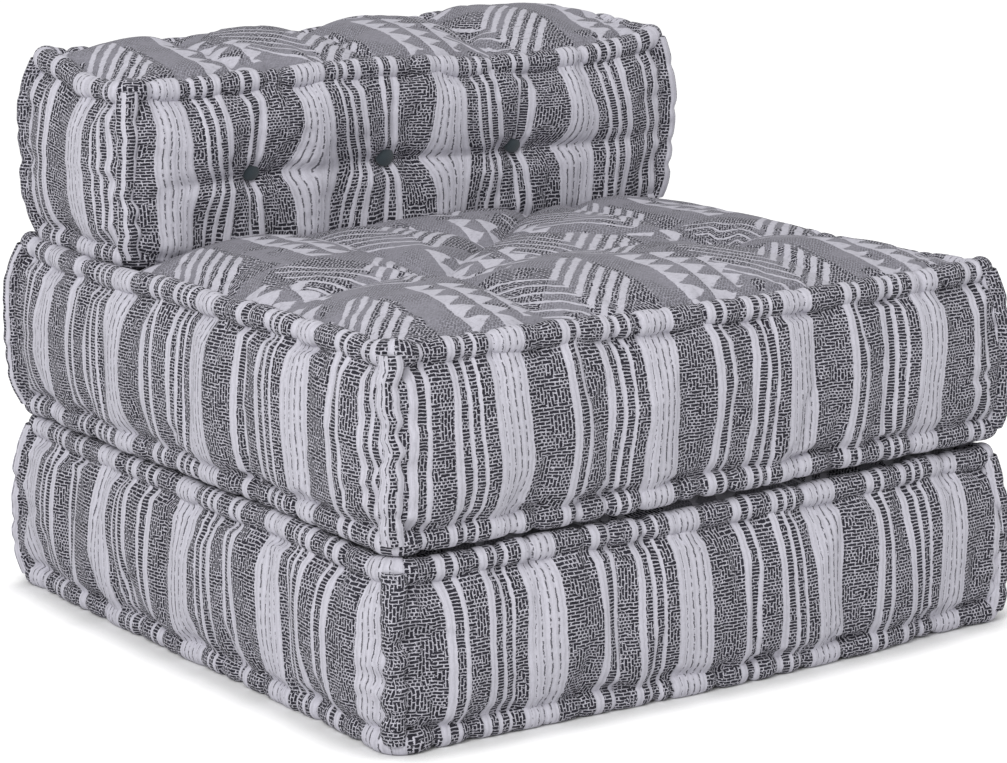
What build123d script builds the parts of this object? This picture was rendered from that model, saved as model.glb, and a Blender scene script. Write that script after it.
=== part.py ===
"""Modular floor sofa: three loose mattress-style cushions, one stacked on the other.

A square base cushion lies on the floor, a seat cushion of the same size lies on it, and a
narrower back cushion stands along the rear of the seat. Each cushion is a sewn cover of six
panels round a wadding core. Its edges are gathered into stuffed rolls: one ring round the top
seam, one round the bottom seam and one roll up each corner. Twine is drawn right through the
wadding to tuft it, and on the back cushion it holds covered buttons.

Millimetres. +X runs along the front to the right, +Y to the rear and +Z up. The origin is on
the floor, under the middle of the base cushion.
"""
import os
from dataclasses import dataclass
from math import asin, cos, exp, sin, sqrt

from build123d import *

# Seat and base cushions, from seam to seam
plan_width = 700.0
plan_depth = 700.0
base_seam_height = 150.0
seat_seam_height = 162.0

# Back cushion, from seam to seam, and where it stands on the seat
back_width = 634.0
back_depth = 190.0
back_seam_height = 172.5
back_inset_from_rear = 18.0
back_shift_left = 12.0

# Stuffed edge rolls
roll_radius = 11.5
roll_corner_radius = 18.0
roll_flat = 0.5
corner_roll_swell = 11.0
corner_roll_neck = 9.0
corner_roll_swells = 4
corner_bow = 8.0

# Cover cloth, and the gap left between two sewn pieces
cloth = 2.0
seam_gap = 0.3
cushion_gap = 0.3

# How far the panels swell beyond the seams
side_swell = 18.0
end_swell = 15.0
free_crown = 24.0
crown_under_seat = 14.5
crown_under_back = 5.5
back_crown = 21.0
back_face_swell = 20.0
arc_hump = 0.4

# How square the swells are: the higher the power, the flatter the middle
crown_power = 4
face_end_power = 6
face_rise_power = 3

# Tufting
tuft_spread_x = 165.0
tuft_spread_y = 150.0
back_tuft_pitch = 157.0
back_tuft_shift_left = 30.0
back_tuft_drop = 12.0
twine_radius = 1.5
knot_radius = 4.0
knot_height = 2.0
dimple_radius = 30.0
dimple_depth = 9.0
tuft_reach = 72.0
tuft_depth_share = 0.92
tuft_slope_share = 0.3
back_valley_share = 0.45

# Covered buttons of the back cushion
button_radius = 10.5
button_back = 3.6
button_rim = 2.0
button_dome = 4.0

# Where the cross sections of a panel stand, as shares of its half length
side_station_shares = (-1.0, -0.92, -0.8, -0.5, 0.0, 0.5, 0.8, 0.92, 1.0)
side_end_share = 0.45
face_end_share = 0.3
top_row_shares = (-1.0, -0.9, -0.75, -0.6, -0.22, 0.0, 0.22, 0.6, 0.75, 0.9, 1.0)
back_top_row_shares = (-1.0, -0.8, -0.5, 0.0, 0.5, 0.8, 1.0)
face_row_shares = (-1.0, -0.8, -0.5, -0.2, 0.0, 0.2, 0.5, 0.8, 1.0)


@dataclass
class Cushion:
    """One cushion's seam box: the rectangle of its seams and their two heights."""

    name: str
    width: float
    depth: float
    seam_height: float
    centre_x: float
    centre_y: float
    underside: float

    @property
    def low_seam(self):
        return self.underside + roll_radius - roll_flat

    @property
    def high_seam(self):
        return self.low_seam + self.seam_height

    @property
    def half_width(self):
        return self.width / 2

    @property
    def half_depth(self):
        return self.depth / 2

    @property
    def top_reach(self):
        """How far a top panel reaches to the front and rear, inside its edge roll."""
        return self.half_depth - roll_radius - seam_gap

    @property
    def corner_setback(self):
        """How far the middle of a ring's rounded corner lies inside the seam box's corner."""
        return roll_corner_radius * (1 - 1 / sqrt(2))

    @property
    def panel_low(self):
        return self.low_seam + roll_radius + seam_gap

    @property
    def panel_high(self):
        return self.high_seam - roll_radius - seam_gap


base = Cushion("base", plan_width, plan_depth, base_seam_height, 0.0, 0.0, 0.0)
seat = Cushion(
    "seat",
    plan_width,
    plan_depth,
    seat_seam_height,
    0.0,
    0.0,
    base.high_seam + crown_under_seat + cloth / 2 + cushion_gap,
)
back = Cushion(
    "back",
    back_width,
    back_depth,
    back_seam_height,
    -back_shift_left,
    (plan_depth - back_depth) / 2 - back_inset_from_rear,
    seat.high_seam + crown_under_back + cloth / 2 + cushion_gap,
)


# Rows of the quilted surfaces
def fall(share, power=crown_power):
    """A crown's height over its middle's: 1 in the middle and 0 at the seams."""
    return 1 - abs(share) ** power


def tuft_pull(x, y, tufts, reach):
    """How much of the tuft's depth is felt at (x, y): 1 at a tuft, fading as a bell curve."""
    return max(exp(-((x - tx) ** 2 + (y - ty) ** 2) / reach**2) for tx, ty in tufts)


def quilt_row(columns, rise, limit):
    """A row's heights at the seams between its arcs, and at the middle of each arc.

    No arc rises above the limit: an arc whose ends lie a and b below it may have its middle
    no higher than the square of half the difference of their roots below it.
    """
    seams = [min(rise(x), limit - arc_hump) for x in columns]
    arcs = []
    for start, end, low, high in zip(columns, columns[1:], seams, seams[1:]):
        cap = limit - ((sqrt(limit - low) - sqrt(limit - high)) / 2) ** 2
        arcs.append(min(rise((start + end) / 2) + arc_hump, cap))
    return seams, arcs


def seat_rows(cushion, press_line, pressed_crown):
    """Rows of a tufted top from front to rear, as (y, heights at seams, heights of arcs).

    In front of press_line the crown stands free; behind it another cushion presses it down.
    """
    press_share = press_line / cushion.top_reach
    tuft_share = tuft_spread_y / cushion.top_reach
    rows = []
    for share in sorted({*top_row_shares, -tuft_share, tuft_share, press_share}):
        y = share * cushion.top_reach
        limit = pressed_crown if share >= press_share else free_crown

        def rise(x):
            puff = free_crown * fall(x / cushion.half_width) * fall(share)
            pull = puff * tuft_pull(x, y, seat_tufts(), tuft_reach)
            return puff - tuft_depth_share * pull

        rows.append((cushion.centre_y + y, *quilt_row(seat_columns(cushion), rise, limit)))
    return rows


def back_rows(cushion):
    """Rows of the back cushion's top from front to rear, humped between the tufts."""
    rows = []
    for share in back_top_row_shares:

        def rise(x):
            pull = tuft_pull(x, 0.0, [(tuft, 0.0) for tuft in face_tufts(cushion)], tuft_reach)
            puff = back_crown * fall((x - cushion.centre_x) / cushion.half_width) * fall(share)
            return puff * (1 - back_valley_share * pull)

        y = cushion.centre_y + share * cushion.top_reach
        rows.append((y, *quilt_row(crown_columns(cushion), rise, back_crown)))
    return rows


def face_rows(cushion):
    """Rows of the back cushion's tufted front and rear faces, from the low seam to the high."""
    rows = []
    for share in face_row_shares:
        reach = cushion.panel_high - tuft_level(cushion)
        if share < 0:
            reach = tuft_level(cushion) - cushion.panel_low
        drop = share * reach

        def rise(x):
            pull = tuft_pull(x, drop, [(tuft, 0.0) for tuft in face_tufts(cushion)], tuft_reach)
            ends = fall((x - cushion.centre_x) / cushion.half_width, face_end_power)
            puff = back_face_swell * max(ends, face_end_share) * fall(share, face_rise_power)
            return puff * (1 - tuft_depth_share * pull)

        z = tuft_level(cushion) + drop
        rows.append((z, *quilt_row(face_columns(cushion), rise, back_face_swell)))
    return rows


def tuft_level(cushion):
    """Height of the row of buttons."""
    return (cushion.low_seam + cushion.high_seam) / 2 - back_tuft_drop


def seat_columns(cushion):
    """X of the five seams between arcs, across a seat or base cushion."""
    reach = cushion.half_width
    return [-reach, -tuft_spread_x, 0.0, tuft_spread_x, reach]


def back_columns(cushion, reach):
    """X of the five seams between arcs, out to reach on both sides of the back cushion."""
    middle = cushion.centre_x - back_tuft_shift_left
    tufts = [middle - back_tuft_pitch, middle, middle + back_tuft_pitch]
    return [cushion.centre_x - reach, *tufts, cushion.centre_x + reach]


def face_columns(cushion):
    """The same across a tufted face, which ends at the corner rolls."""
    return back_columns(cushion, cushion.half_width - cushion.corner_setback)


def crown_columns(cushion):
    """The same across the top, out to the side seams."""
    return back_columns(cushion, cushion.half_width)


# Outlines
def arc_row(columns, seam_heights, arc_heights, level, side):
    """A row of three-point arcs over the columns, at level plus side times its height."""
    for i, arc_height in enumerate(arc_heights):
        start, end = columns[i], columns[i + 1]
        ThreePointArc(
            (start, level + side * seam_heights[i]),
            ((start + end) / 2, level + side * arc_height),
            (end, level + side * seam_heights[i + 1]),
        )


def strip_section(plane, columns, row, outer, inner, side):
    """A closed strip between an arc row at outer and the same row at inner."""
    with BuildSketch(plane) as section:
        with BuildLine():
            arc_row(columns, row[1], row[2], outer, side)
            arc_row(columns, row[1], row[2], inner, side)
            for column, height in ((columns[0], row[1][0]), (columns[-1], row[1][-1])):
                Line((column, outer + side * height), (column, inner + side * height))
        make_face()
    return section.sketch


def filled_section(plane, columns, row, outer, floor, side):
    """The whole area between an arc row at outer and a straight line at floor."""
    with BuildSketch(plane) as section:
        with BuildLine():
            arc_row(columns, row[1], row[2], outer, side)
            Line((columns[0], outer + side * row[1][0]), (columns[0], floor))
            Line((columns[0], floor), (columns[-1], floor))
            Line((columns[-1], floor), (columns[-1], outer + side * row[1][-1]))
        make_face()
    return section.sketch


def rounded_prism(cushion, low, high):
    """The block inside the edge rings, with the ring's own inner corner radius."""
    inset = roll_radius + seam_gap
    with BuildPart() as prism:
        with BuildSketch(Plane.XY.offset(low)):
            with Locations((cushion.centre_x, cushion.centre_y)):
                RectangleRounded(
                    cushion.width - 2 * inset, cushion.depth - 2 * inset, roll_corner_radius - inset
                )
        extrude(amount=high - low)
    return prism.part


# Edge rolls
def roll_ring(cushion, seam, radius):
    """A tube round the seam box at one seam, with rounded corners."""
    with BuildSketch(Plane.XY.offset(seam)) as seam_line:
        with Locations((cushion.centre_x, cushion.centre_y)):
            RectangleRounded(cushion.width, cushion.depth, roll_corner_radius)
    path = seam_line.sketch.wire()
    with BuildPart() as ring:
        with BuildSketch(Plane(origin=path @ 0, z_dir=path % 0)):
            Circle(radius)
        sweep(path=path)
    return ring.part


def edge_roll(cushion, seam):
    """A ring that is cut flat where it rests on what is under the cushion."""
    with BuildPart() as roll:
        add(roll_ring(cushion, seam, roll_radius))
        split(bisect_by=Plane.XY.offset(cushion.underside), keep=Keep.TOP)
    return roll.part


def corner_places(cushion):
    """The four corners as (x, y, outward x, outward y) of the corner rolls' ends."""
    reach_x = cushion.half_width - cushion.corner_setback
    reach_y = cushion.half_depth - cushion.corner_setback
    return [
        (cushion.centre_x + sx * reach_x, cushion.centre_y + sy * reach_y, sx, sy)
        for sx in (-1, 1)
        for sy in (-1, 1)
    ]


def bow_at(cushion, level):
    """Outward bow along each axis: a circular arc from seam to seam, full at half height."""
    half, rise = cushion.seam_height / 2, corner_bow / sqrt(2)
    radius = (half**2 + rise**2) / (2 * rise)
    return rise - radius + sqrt(radius**2 - (level - cushion.low_seam - half) ** 2)


def corner_roll(cushion, place):
    """A bowed roll up one corner, gathered to a neck between its swells."""
    x, y, sx, sy = place
    low, high = cushion.panel_low, cushion.panel_high
    steps = 2 * corner_roll_swells
    with BuildPart() as roll:
        for step in range(steps + 1):
            level = low + step / steps * (high - low)
            bow = bow_at(cushion, level)
            with BuildSketch(Plane.XY.offset(level)):
                with Locations((x + sx * bow, y + sy * bow)):
                    Circle(corner_roll_swell if step % 2 else corner_roll_neck)
        loft(ruled=True)
    return roll.part


def corner_room(cushion, place):
    """The room that one bowed corner roll needs, cut out of the panels and the core."""
    x, y, sx, sy = place
    low, high = cushion.low_seam, cushion.high_seam
    middle = (low + high) / 2
    bow = bow_at(cushion, middle)
    with BuildPart() as room:
        with BuildLine() as path:
            ThreePointArc((x, y, low), (x + sx * bow, y + sy * bow, middle), (x, y, high))
        with BuildSketch(Plane(origin=path.line @ 0, z_dir=path.line % 0)):
            Circle(corner_roll_swell + seam_gap)
        sweep(path=path.line)
    return room.part


def corner_rolls(cushion):
    """The four corner rolls of one cushion."""
    with BuildPart() as rolls:
        for place in corner_places(cushion):
            add(corner_roll(cushion, place))
    return rolls.part


# Side panels
def side_planes(cushion, axis):
    """Section planes across a side panel that runs along the axis, with its swell shares."""
    along_x = axis == "x"
    reach = (cushion.half_width if along_x else cushion.half_depth) - cushion.corner_setback
    planes = []
    for station in side_station_shares:
        swell = side_end_share + (1 - side_end_share) * fall(station)
        if along_x:
            planes.append((Plane.YZ.offset(cushion.centre_x + station * reach), swell))
        else:
            planes.append((Plane.XZ.offset(-cushion.centre_y - station * reach), swell))
    return planes


def side_skin(cushion, axis, side, swell):
    """A plain side panel: a cloth strip that bulges between its seams, least at its ends."""
    centre, half = (
        (cushion.centre_y, cushion.half_depth)
        if axis == "x"
        else (cushion.centre_x, cushion.half_width)
    )
    low, high = cushion.panel_low, cushion.panel_high
    middle = (low + high) / 2
    with BuildPart() as skin:
        for plane, share in side_planes(cushion, axis):
            with BuildSketch(plane):
                with BuildLine():
                    for face in (half + cloth / 2, half - cloth / 2):
                        seam_line = centre + side * face
                        bulge_line = seam_line + side * share * swell
                        ThreePointArc((seam_line, low), (bulge_line, middle), (seam_line, high))
                    for level in (low, high):
                        Line(
                            (centre + side * (half + cloth / 2), level),
                            (centre + side * (half - cloth / 2), level),
                        )
                make_face()
        loft(ruled=True)
        for place in corner_places(cushion):
            add(corner_room(cushion, place), mode=Mode.SUBTRACT)
    return skin.part


def side_wadding(cushion, axis, side, swell):
    """The wadding behind a plain side panel, out from the block inside the rings."""
    centre, half = (
        (cushion.centre_y, cushion.half_depth)
        if axis == "x"
        else (cushion.centre_x, cushion.half_width)
    )
    low, high = cushion.panel_low, cushion.panel_high
    seam_line = centre + side * (half - cloth / 2 - seam_gap)
    inner_line = centre + side * (half - 2 * roll_radius)
    with BuildPart() as wadding:
        for plane, share in side_planes(cushion, axis):
            with BuildSketch(plane):
                with BuildLine():
                    ThreePointArc(
                        (seam_line, low),
                        (seam_line + side * share * swell, (low + high) / 2),
                        (seam_line, high),
                    )
                    Line((seam_line, high), (inner_line, high))
                    Line((inner_line, high), (inner_line, low))
                    Line((inner_line, low), (seam_line, low))
                make_face()
        loft(ruled=True)
    return wadding.part


def face_skin(cushion, side):
    """The back cushion's front or rear panel, tufted in a row."""
    columns, level = face_columns(cushion), cushion.centre_y + side * cushion.half_depth
    outer, inner = level + side * cloth / 2, level - side * cloth / 2
    with BuildPart() as skin:
        loft(
            [
                strip_section(Plane.XY.offset(row[0]), columns, row, outer, inner, side)
                for row in face_rows(cushion)
            ],
            ruled=True,
        )
        for place in corner_places(cushion):
            add(corner_room(cushion, place), mode=Mode.SUBTRACT)
        add(face_tuft_holes(cushion), mode=Mode.SUBTRACT)
    return skin.part


def face_wadding(cushion, side):
    """The wadding behind a tufted panel."""
    columns, level = face_columns(cushion), cushion.centre_y + side * cushion.half_depth
    outer = level - side * (cloth / 2 + seam_gap)
    floor = level - side * 2 * roll_radius
    with BuildPart() as wadding:
        loft(
            [
                filled_section(Plane.XY.offset(row[0]), columns, row, outer, floor, side)
                for row in face_rows(cushion)
            ],
            ruled=True,
        )
    return wadding.part


# Top and bottom panels
def top_skin(cushion, columns, rows):
    """A crowned top panel, cut to the rounded outline inside its roll."""
    outer, inner = cushion.high_seam + cloth / 2, cushion.high_seam - cloth / 2
    with BuildPart() as skin:
        loft(
            [
                strip_section(Plane.XZ.offset(-row[0]), columns, row, outer, inner, 1)
                for row in rows
            ],
            ruled=True,
        )
        add(
            rounded_prism(cushion, cushion.low_seam, cushion.high_seam + cushion.seam_height),
            mode=Mode.INTERSECT,
        )
    return skin.part


def seat_tufts():
    """Where the twine goes through a seat or base cushion: the middle and four round it."""
    return [(0.0, 0.0)] + [
        (sx * tuft_spread_x, sy * tuft_spread_y) for sx in (-1, 1) for sy in (-1, 1)
    ]


def funnel(cushion, lift, thickness):
    """A round dimple in the underside: a cone that rises to the twine, or its whole inside."""
    hole = twine_radius + seam_gap
    foot = cushion.underside + lift
    with BuildPart() as cone:
        with BuildSketch(Plane.XZ):
            with BuildLine():
                if thickness:
                    Polyline(
                        (dimple_radius, foot),
                        (dimple_radius, foot + thickness),
                        (hole, foot + dimple_depth + thickness),
                        (hole, foot + dimple_depth),
                        close=True,
                    )
                else:
                    Polyline(
                        (0.0, foot - cloth),
                        (dimple_radius, foot - cloth),
                        (dimple_radius, foot),
                        (0.0, foot + dimple_depth * dimple_radius / (dimple_radius - hole)),
                        close=True,
                    )
            make_face()
        revolve(axis=Axis.Z)
    return cone.part


def bottom_skin(cushion, tufts):
    """A flat bottom panel, drawn up into a dimple round each tuft."""
    with BuildPart() as skin:
        add(rounded_prism(cushion, cushion.underside, cushion.underside + cloth))
        if tufts:
            with BuildSketch(Plane.XY.offset(cushion.underside)):
                with Locations(*tufts):
                    Circle(dimple_radius)
            extrude(amount=cloth, mode=Mode.SUBTRACT)
            cone = funnel(cushion, 0.0, cloth)
            for x, y in tufts:
                add(cone.moved(Location((x, y, 0.0))))
    return skin.part


# Wadding cores
def twine_holes(cushion, tufts, radius):
    """Straight holes, or the twine itself, up through a seat or base cushion."""
    with BuildPart() as holes:
        with BuildSketch(Plane.XY.offset(cushion.underside - cloth)):
            with Locations(*tufts):
                Circle(radius)
        extrude(amount=cushion.seam_height + free_crown + 2 * roll_radius)
    return holes.part


def face_tufts(cushion):
    """X of each tuft through the back cushion."""
    return crown_columns(cushion)[1:-1]


def face_tuft_holes(cushion):
    """Holes for the twine from the front of the back cushion to its rear."""
    reach = cushion.half_depth + back_face_swell
    with BuildPart() as holes:
        with BuildSketch(Plane.XZ.offset(-cushion.centre_y - reach)):
            with Locations(*[(x, tuft_level(cushion)) for x in face_tufts(cushion)]):
                Circle(twine_radius + seam_gap)
        extrude(amount=2 * reach)
    return holes.part


def core_block(cushion, columns, rows):
    """The block inside the rings, with the crown on top."""
    floor = cushion.underside + cloth + seam_gap
    outer = cushion.high_seam - cloth / 2 - seam_gap
    with BuildPart() as block:
        loft(
            [
                filled_section(Plane.XZ.offset(-row[0]), columns, row, outer, floor, 1)
                for row in rows
            ],
            ruled=True,
        )
        add(
            rounded_prism(cushion, cushion.underside, cushion.high_seam + cushion.seam_height),
            mode=Mode.INTERSECT,
        )
    return block.part


def seat_core(cushion, rows):
    """Wadding of a seat or base cushion: crowned block, four bulging sides, tufts."""
    with BuildPart() as core:
        add(core_block(cushion, seat_columns(cushion), rows))
        for axis in ("x", "y"):
            for side in (-1, 1):
                add(side_wadding(cushion, axis, side, side_swell))
        for place in corner_places(cushion):
            add(corner_room(cushion, place), mode=Mode.SUBTRACT)
        cone = funnel(cushion, cloth + seam_gap, 0.0)
        for x, y in seat_tufts():
            add(cone.moved(Location((x, y, 0.0))), mode=Mode.SUBTRACT)
        add(twine_holes(cushion, seat_tufts(), twine_radius + seam_gap), mode=Mode.SUBTRACT)
    return core.part


def back_core(cushion, rows):
    """Wadding of the back cushion: crowned block, tufted front and rear, plain ends."""
    with BuildPart() as core:
        add(core_block(cushion, crown_columns(cushion), rows))
        for side in (-1, 1):
            add(face_wadding(cushion, side))
            add(side_wadding(cushion, "y", side, end_swell))
        for place in corner_places(cushion):
            add(corner_room(cushion, place), mode=Mode.SUBTRACT)
        add(face_tuft_holes(cushion), mode=Mode.SUBTRACT)
    return core.part


# Twine and buttons
def seat_twine(cushion, top_level):
    """Tufting twine of a seat or base cushion, knotted in the dimples above and below."""
    slope = dimple_depth / (dimple_radius - twine_radius - seam_gap)
    low = cushion.underside + slope * (dimple_radius - knot_radius) - seam_gap - knot_height
    with BuildPart() as twine:
        with BuildSketch(Plane.XY.offset(low)):
            with Locations(*seat_tufts()):
                Circle(twine_radius)
        extrude(amount=top_level + seam_gap - low)
        for level in (low, top_level + seam_gap):
            with BuildSketch(Plane.XY.offset(level)):
                with Locations(*seat_tufts()):
                    Circle(knot_radius)
            extrude(amount=knot_height)
    return twine.part


def button_face(cushion, side):
    """Y of the cloth at the bottom of a tuft, on the front or rear of the back cushion."""
    dip = (1 - tuft_depth_share) * back_face_swell
    return cushion.centre_y + side * (cushion.half_depth + cloth / 2 + dip)


def back_twine(cushion):
    """Twine from each front button to the rear one."""
    reach = button_face(cushion, 1) + seam_gap
    start = button_face(cushion, -1) - seam_gap
    with BuildPart() as twine:
        with BuildSketch(Plane.XZ.offset(-reach)):
            with Locations(*[(x, tuft_level(cushion)) for x in face_tufts(cushion)]):
                Circle(twine_radius)
        extrude(amount=reach - start)
    return twine.part


def buttons(cushion, side):
    """Three covered buttons: a shallow cone into the tuft, a straight rim and a dome."""
    seat_face = button_face(cushion, side) + side * seam_gap
    top = button_back + button_rim + button_dome
    sphere = (button_radius**2 + button_dome**2) / (2 * button_dome)
    half_angle = asin(button_radius / sphere) / 2
    with BuildPart() as button:
        with BuildSketch(Plane.XZ):
            with BuildLine():
                Line((0.0, 0.0), (button_radius, button_back))
                Line((button_radius, button_back), (button_radius, button_back + button_rim))
                ThreePointArc(
                    (button_radius, button_back + button_rim),
                    (sphere * sin(half_angle), top - sphere * (1 - cos(half_angle))),
                    (0.0, top),
                )
                Line((0.0, top), (0.0, 0.0))
            make_face()
        revolve(axis=Axis.Z)
    with BuildPart() as row:
        for x in face_tufts(cushion):
            spot = Plane(origin=(x, seat_face, tuft_level(cushion)), z_dir=(0, side, 0))
            add(button.part.moved(spot.location))
    return row.part


# Run of the build
def write(part, label):
    """Label one finished piece and write its file."""
    part.label = label
    export_step(part, f"parts/{label}.step")


def write_common(cushion, core, top, bottom):
    """Write the pieces that every cushion has, but its side panels."""
    write(core, f"{cushion.name}_wadding_core")
    write(top, f"{cushion.name}_top_panel")
    write(bottom, f"{cushion.name}_bottom_panel")
    write(edge_roll(cushion, cushion.high_seam), f"{cushion.name}_top_edge_roll")
    write(edge_roll(cushion, cushion.low_seam), f"{cushion.name}_bottom_edge_roll")
    write(corner_rolls(cushion), f"{cushion.name}_corner_rolls")


def build_seat(cushion, press_line, pressed_crown):
    """Build and write every piece of a seat or base cushion, pressed down behind press_line."""
    rows = seat_rows(cushion, press_line, pressed_crown)
    with BuildPart() as top:
        add(top_skin(cushion, seat_columns(cushion), rows))
        add(twine_holes(cushion, seat_tufts(), twine_radius + seam_gap), mode=Mode.SUBTRACT)
    write_common(cushion, seat_core(cushion, rows), top.part, bottom_skin(cushion, seat_tufts()))
    for axis, side, name in (("x", -1, "front"), ("x", 1, "rear"), ("y", -1, "left"), ("y", 1, "right")):
        write(side_skin(cushion, axis, side, side_swell), f"{cushion.name}_{name}_panel")
    tuft_top = cushion.high_seam + cloth / 2 + (1 - tuft_depth_share) * free_crown
    tuft_top += knot_radius * tuft_slope_share
    write(seat_twine(cushion, tuft_top), f"{cushion.name}_tuft_twine")


def build_back(cushion):
    """Build and write every piece of the back cushion."""
    rows = back_rows(cushion)
    top = top_skin(cushion, crown_columns(cushion), rows)
    write_common(cushion, back_core(cushion, rows), top, bottom_skin(cushion, []))
    for side, face, end in ((-1, "front", "left"), (1, "rear", "right")):
        write(face_skin(cushion, side), f"{cushion.name}_{face}_panel")
        write(side_skin(cushion, "y", side, end_swell), f"{cushion.name}_{end}_panel")
        write(buttons(cushion, side), f"{cushion.name}_{face}_buttons")
    write(back_twine(cushion), f"{cushion.name}_tuft_twine")


os.makedirs("parts", exist_ok=True)
build_seat(base, -base.top_reach, crown_under_seat)
build_seat(seat, back.centre_y - back.half_depth - back_face_swell - cloth, crown_under_back)
build_back(back)
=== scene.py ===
"""Looks of a modular floor sofa: three loose mattress-style cushions in woven cotton.

Each cushion is rebuilt round its seam box, which is read from the frame: a stuffed wadding
form, six cover cloths, a gathered roll round each seam and a roll up each corner. The cloths
are drawn in at the tufts and at every gather of the rolls. Lengths are in metres.
"""
from math import cos, pi, radians, sin

import bpy
import numpy as np
from mathutils import Matrix, Vector


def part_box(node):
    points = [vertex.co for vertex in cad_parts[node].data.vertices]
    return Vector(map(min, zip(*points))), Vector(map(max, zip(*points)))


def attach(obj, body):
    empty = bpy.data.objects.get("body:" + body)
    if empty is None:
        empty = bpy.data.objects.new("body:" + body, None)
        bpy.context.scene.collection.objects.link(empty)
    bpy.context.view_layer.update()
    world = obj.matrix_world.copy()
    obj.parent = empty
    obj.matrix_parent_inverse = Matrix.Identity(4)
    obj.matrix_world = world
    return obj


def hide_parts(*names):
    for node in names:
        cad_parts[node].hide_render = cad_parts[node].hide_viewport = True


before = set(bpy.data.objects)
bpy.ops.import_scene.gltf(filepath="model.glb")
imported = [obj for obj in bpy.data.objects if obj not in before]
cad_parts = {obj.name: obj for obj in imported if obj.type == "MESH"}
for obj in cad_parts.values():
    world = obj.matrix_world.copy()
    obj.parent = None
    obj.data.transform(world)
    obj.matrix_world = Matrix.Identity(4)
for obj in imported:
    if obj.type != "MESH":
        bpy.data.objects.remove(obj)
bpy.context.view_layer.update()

bl_info = {
    "name": "Mattress Sofa",
    "version": (1, 0, 0),
    "blender": (4, 5, 0),
    "location": "View3D > Sidebar > Sofa",
    "description": "Builds the cloths, rolls, tufts and fillings of a stacked floor sofa",
    "category": "Object",
}

SIDES = ("front", "right", "rear", "left")
BODIES = {"base": "base_cushion", "seat": "seat_cushion", "back": "back_cushion"}
MM = 0.001

# Share of a move along a corner's diagonal that each of its two sides takes
DIAGONAL_SHARE = 0.707

# Seam allowances of a cover's flat piece: along a seam, and over the height with its swell. The side cloths
# add them to their sizes, but nothing uses the sums
LENGTH_ALLOWANCE = 0.02
HEIGHT_ALLOWANCE = 0.03

# Side cloths: how far a gather's pull and a corner's reach fade, and what each takes or adds
SIDE_GATHER_FADE = 19 * MM
SIDE_GATHER_PULL = 20 * MM
SIDE_PUFF = 1.4 * MM
SIDE_GROOVE = 4.5 * MM
GROOVE_WIDTH = 6 * MM
SOFT_FOLD = 1.7 * MM
CORNER_TUCK = 2.6 * MM
CORNER_REACH = 38 * MM

# Foot of a tufted face, which bulges down over the roll below it
FOOT_DROP = 17 * MM
FOOT_BULGE_MM = 11
FOOT_SCALLOP_MM = 3

# Top cloths: the same, with the valleys between the tufts as shares of the crown
TOP_GATHER_FADE = 20 * MM
TOP_GATHER_PULL = 18 * MM
TOP_PUFF = 1.2 * MM
TOP_GROOVE = 3.5 * MM
TOP_FOLD = 1.6 * MM
VALLEY_WIDTH = 26 * MM
DIAGONAL_VALLEY_SHARE = 0.85
STRAIGHT_VALLEY_SHARE = 0.6
BACK_VALLEY_SHARE = 0.7
TUFT_WIDTH = 34 * MM
TUFT_SHARE = 0.95

# Cloth solver: a cover a little too large for its form, blown out from behind
SOLVER_GRID = 6 * MM
SOLVER_PRESSURE = 1.0
SOLVER_EXCESS_SHARE = 0.03
SOLVER_FRAMES = 20
SOLVER_QUALITY = 4
CLOTH_MASS = 0.15
SIDE_MOVE_LIMIT = 6 * MM
TOP_MOVE_LIMIT = 8 * MM
INWARD_LIMIT = 2 * MM
BUTTON_HOLD = 12 * MM
TUFT_HOLD = 10 * MM

# Grids of the rolls: facets round a roll and the step along one
ROLL_FACETS = 26
ROLL_STEP = 2.4 * MM

# Lamps, as place and size, the floor's own glow, and how far from the sofa that glow is withheld as a painted
# contact shadow
KEY_LAMP = ((-3.7, -2.6, 3.4), 2.6)
FILL_LAMP = ((3.4, -3.0, 2.2), 3.0)
FILL_SHARE = 0.12
FLOOR_GLOW = 0.45
SHADOW_REACH = 0.055


# Settings
class SofaShape(bpy.types.PropertyGroup):
    """Sizes of the cushions' forms, in metres unless a share is named."""

    side_swell: bpy.props.FloatProperty(
        name="Side swell", description="How far a side stands out", default=0.0195, unit="LENGTH"
    )
    end_swell: bpy.props.FloatProperty(
        name="End swell",
        description="How far an end of the back cushion stands out",
        default=0.0155,
        unit="LENGTH",
    )
    face_swell: bpy.props.FloatProperty(
        name="Face swell",
        description="How far a tufted face of the back cushion stands out",
        default=0.0265,
        unit="LENGTH",
    )
    crown: bpy.props.FloatProperty(
        name="Crown", description="Height of a free top over its seam", default=0.033, unit="LENGTH"
    )
    back_crown: bpy.props.FloatProperty(
        name="Back crown",
        description="Height of the back cushion's top over its seam",
        default=0.024,
        unit="LENGTH",
    )
    roll_corner: bpy.props.FloatProperty(
        name="Roll corner",
        description="Radius of a ring's corner, at the middle of the roll",
        default=0.018,
        unit="LENGTH",
    )
    gather_pitch: bpy.props.FloatProperty(
        name="Gather pitch",
        description="Mean distance between two gathers of a roll",
        default=0.036,
        unit="LENGTH",
    )
    gather_width: bpy.props.FloatProperty(
        name="Gather width", description="Half width of a gather", default=0.0042, unit="LENGTH"
    )
    gather_depth: bpy.props.FloatProperty(
        name="Gather depth",
        description="How much thinner a roll is at a gather, as a share",
        default=0.21,
    )
    cloth: bpy.props.FloatProperty(
        name="Cloth", description="Thickness of a cover cloth", default=0.002, unit="LENGTH"
    )
    corner_radius: bpy.props.FloatProperty(
        name="Corner roll radius", description="Mean radius", default=0.0105, unit="LENGTH"
    )


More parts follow.
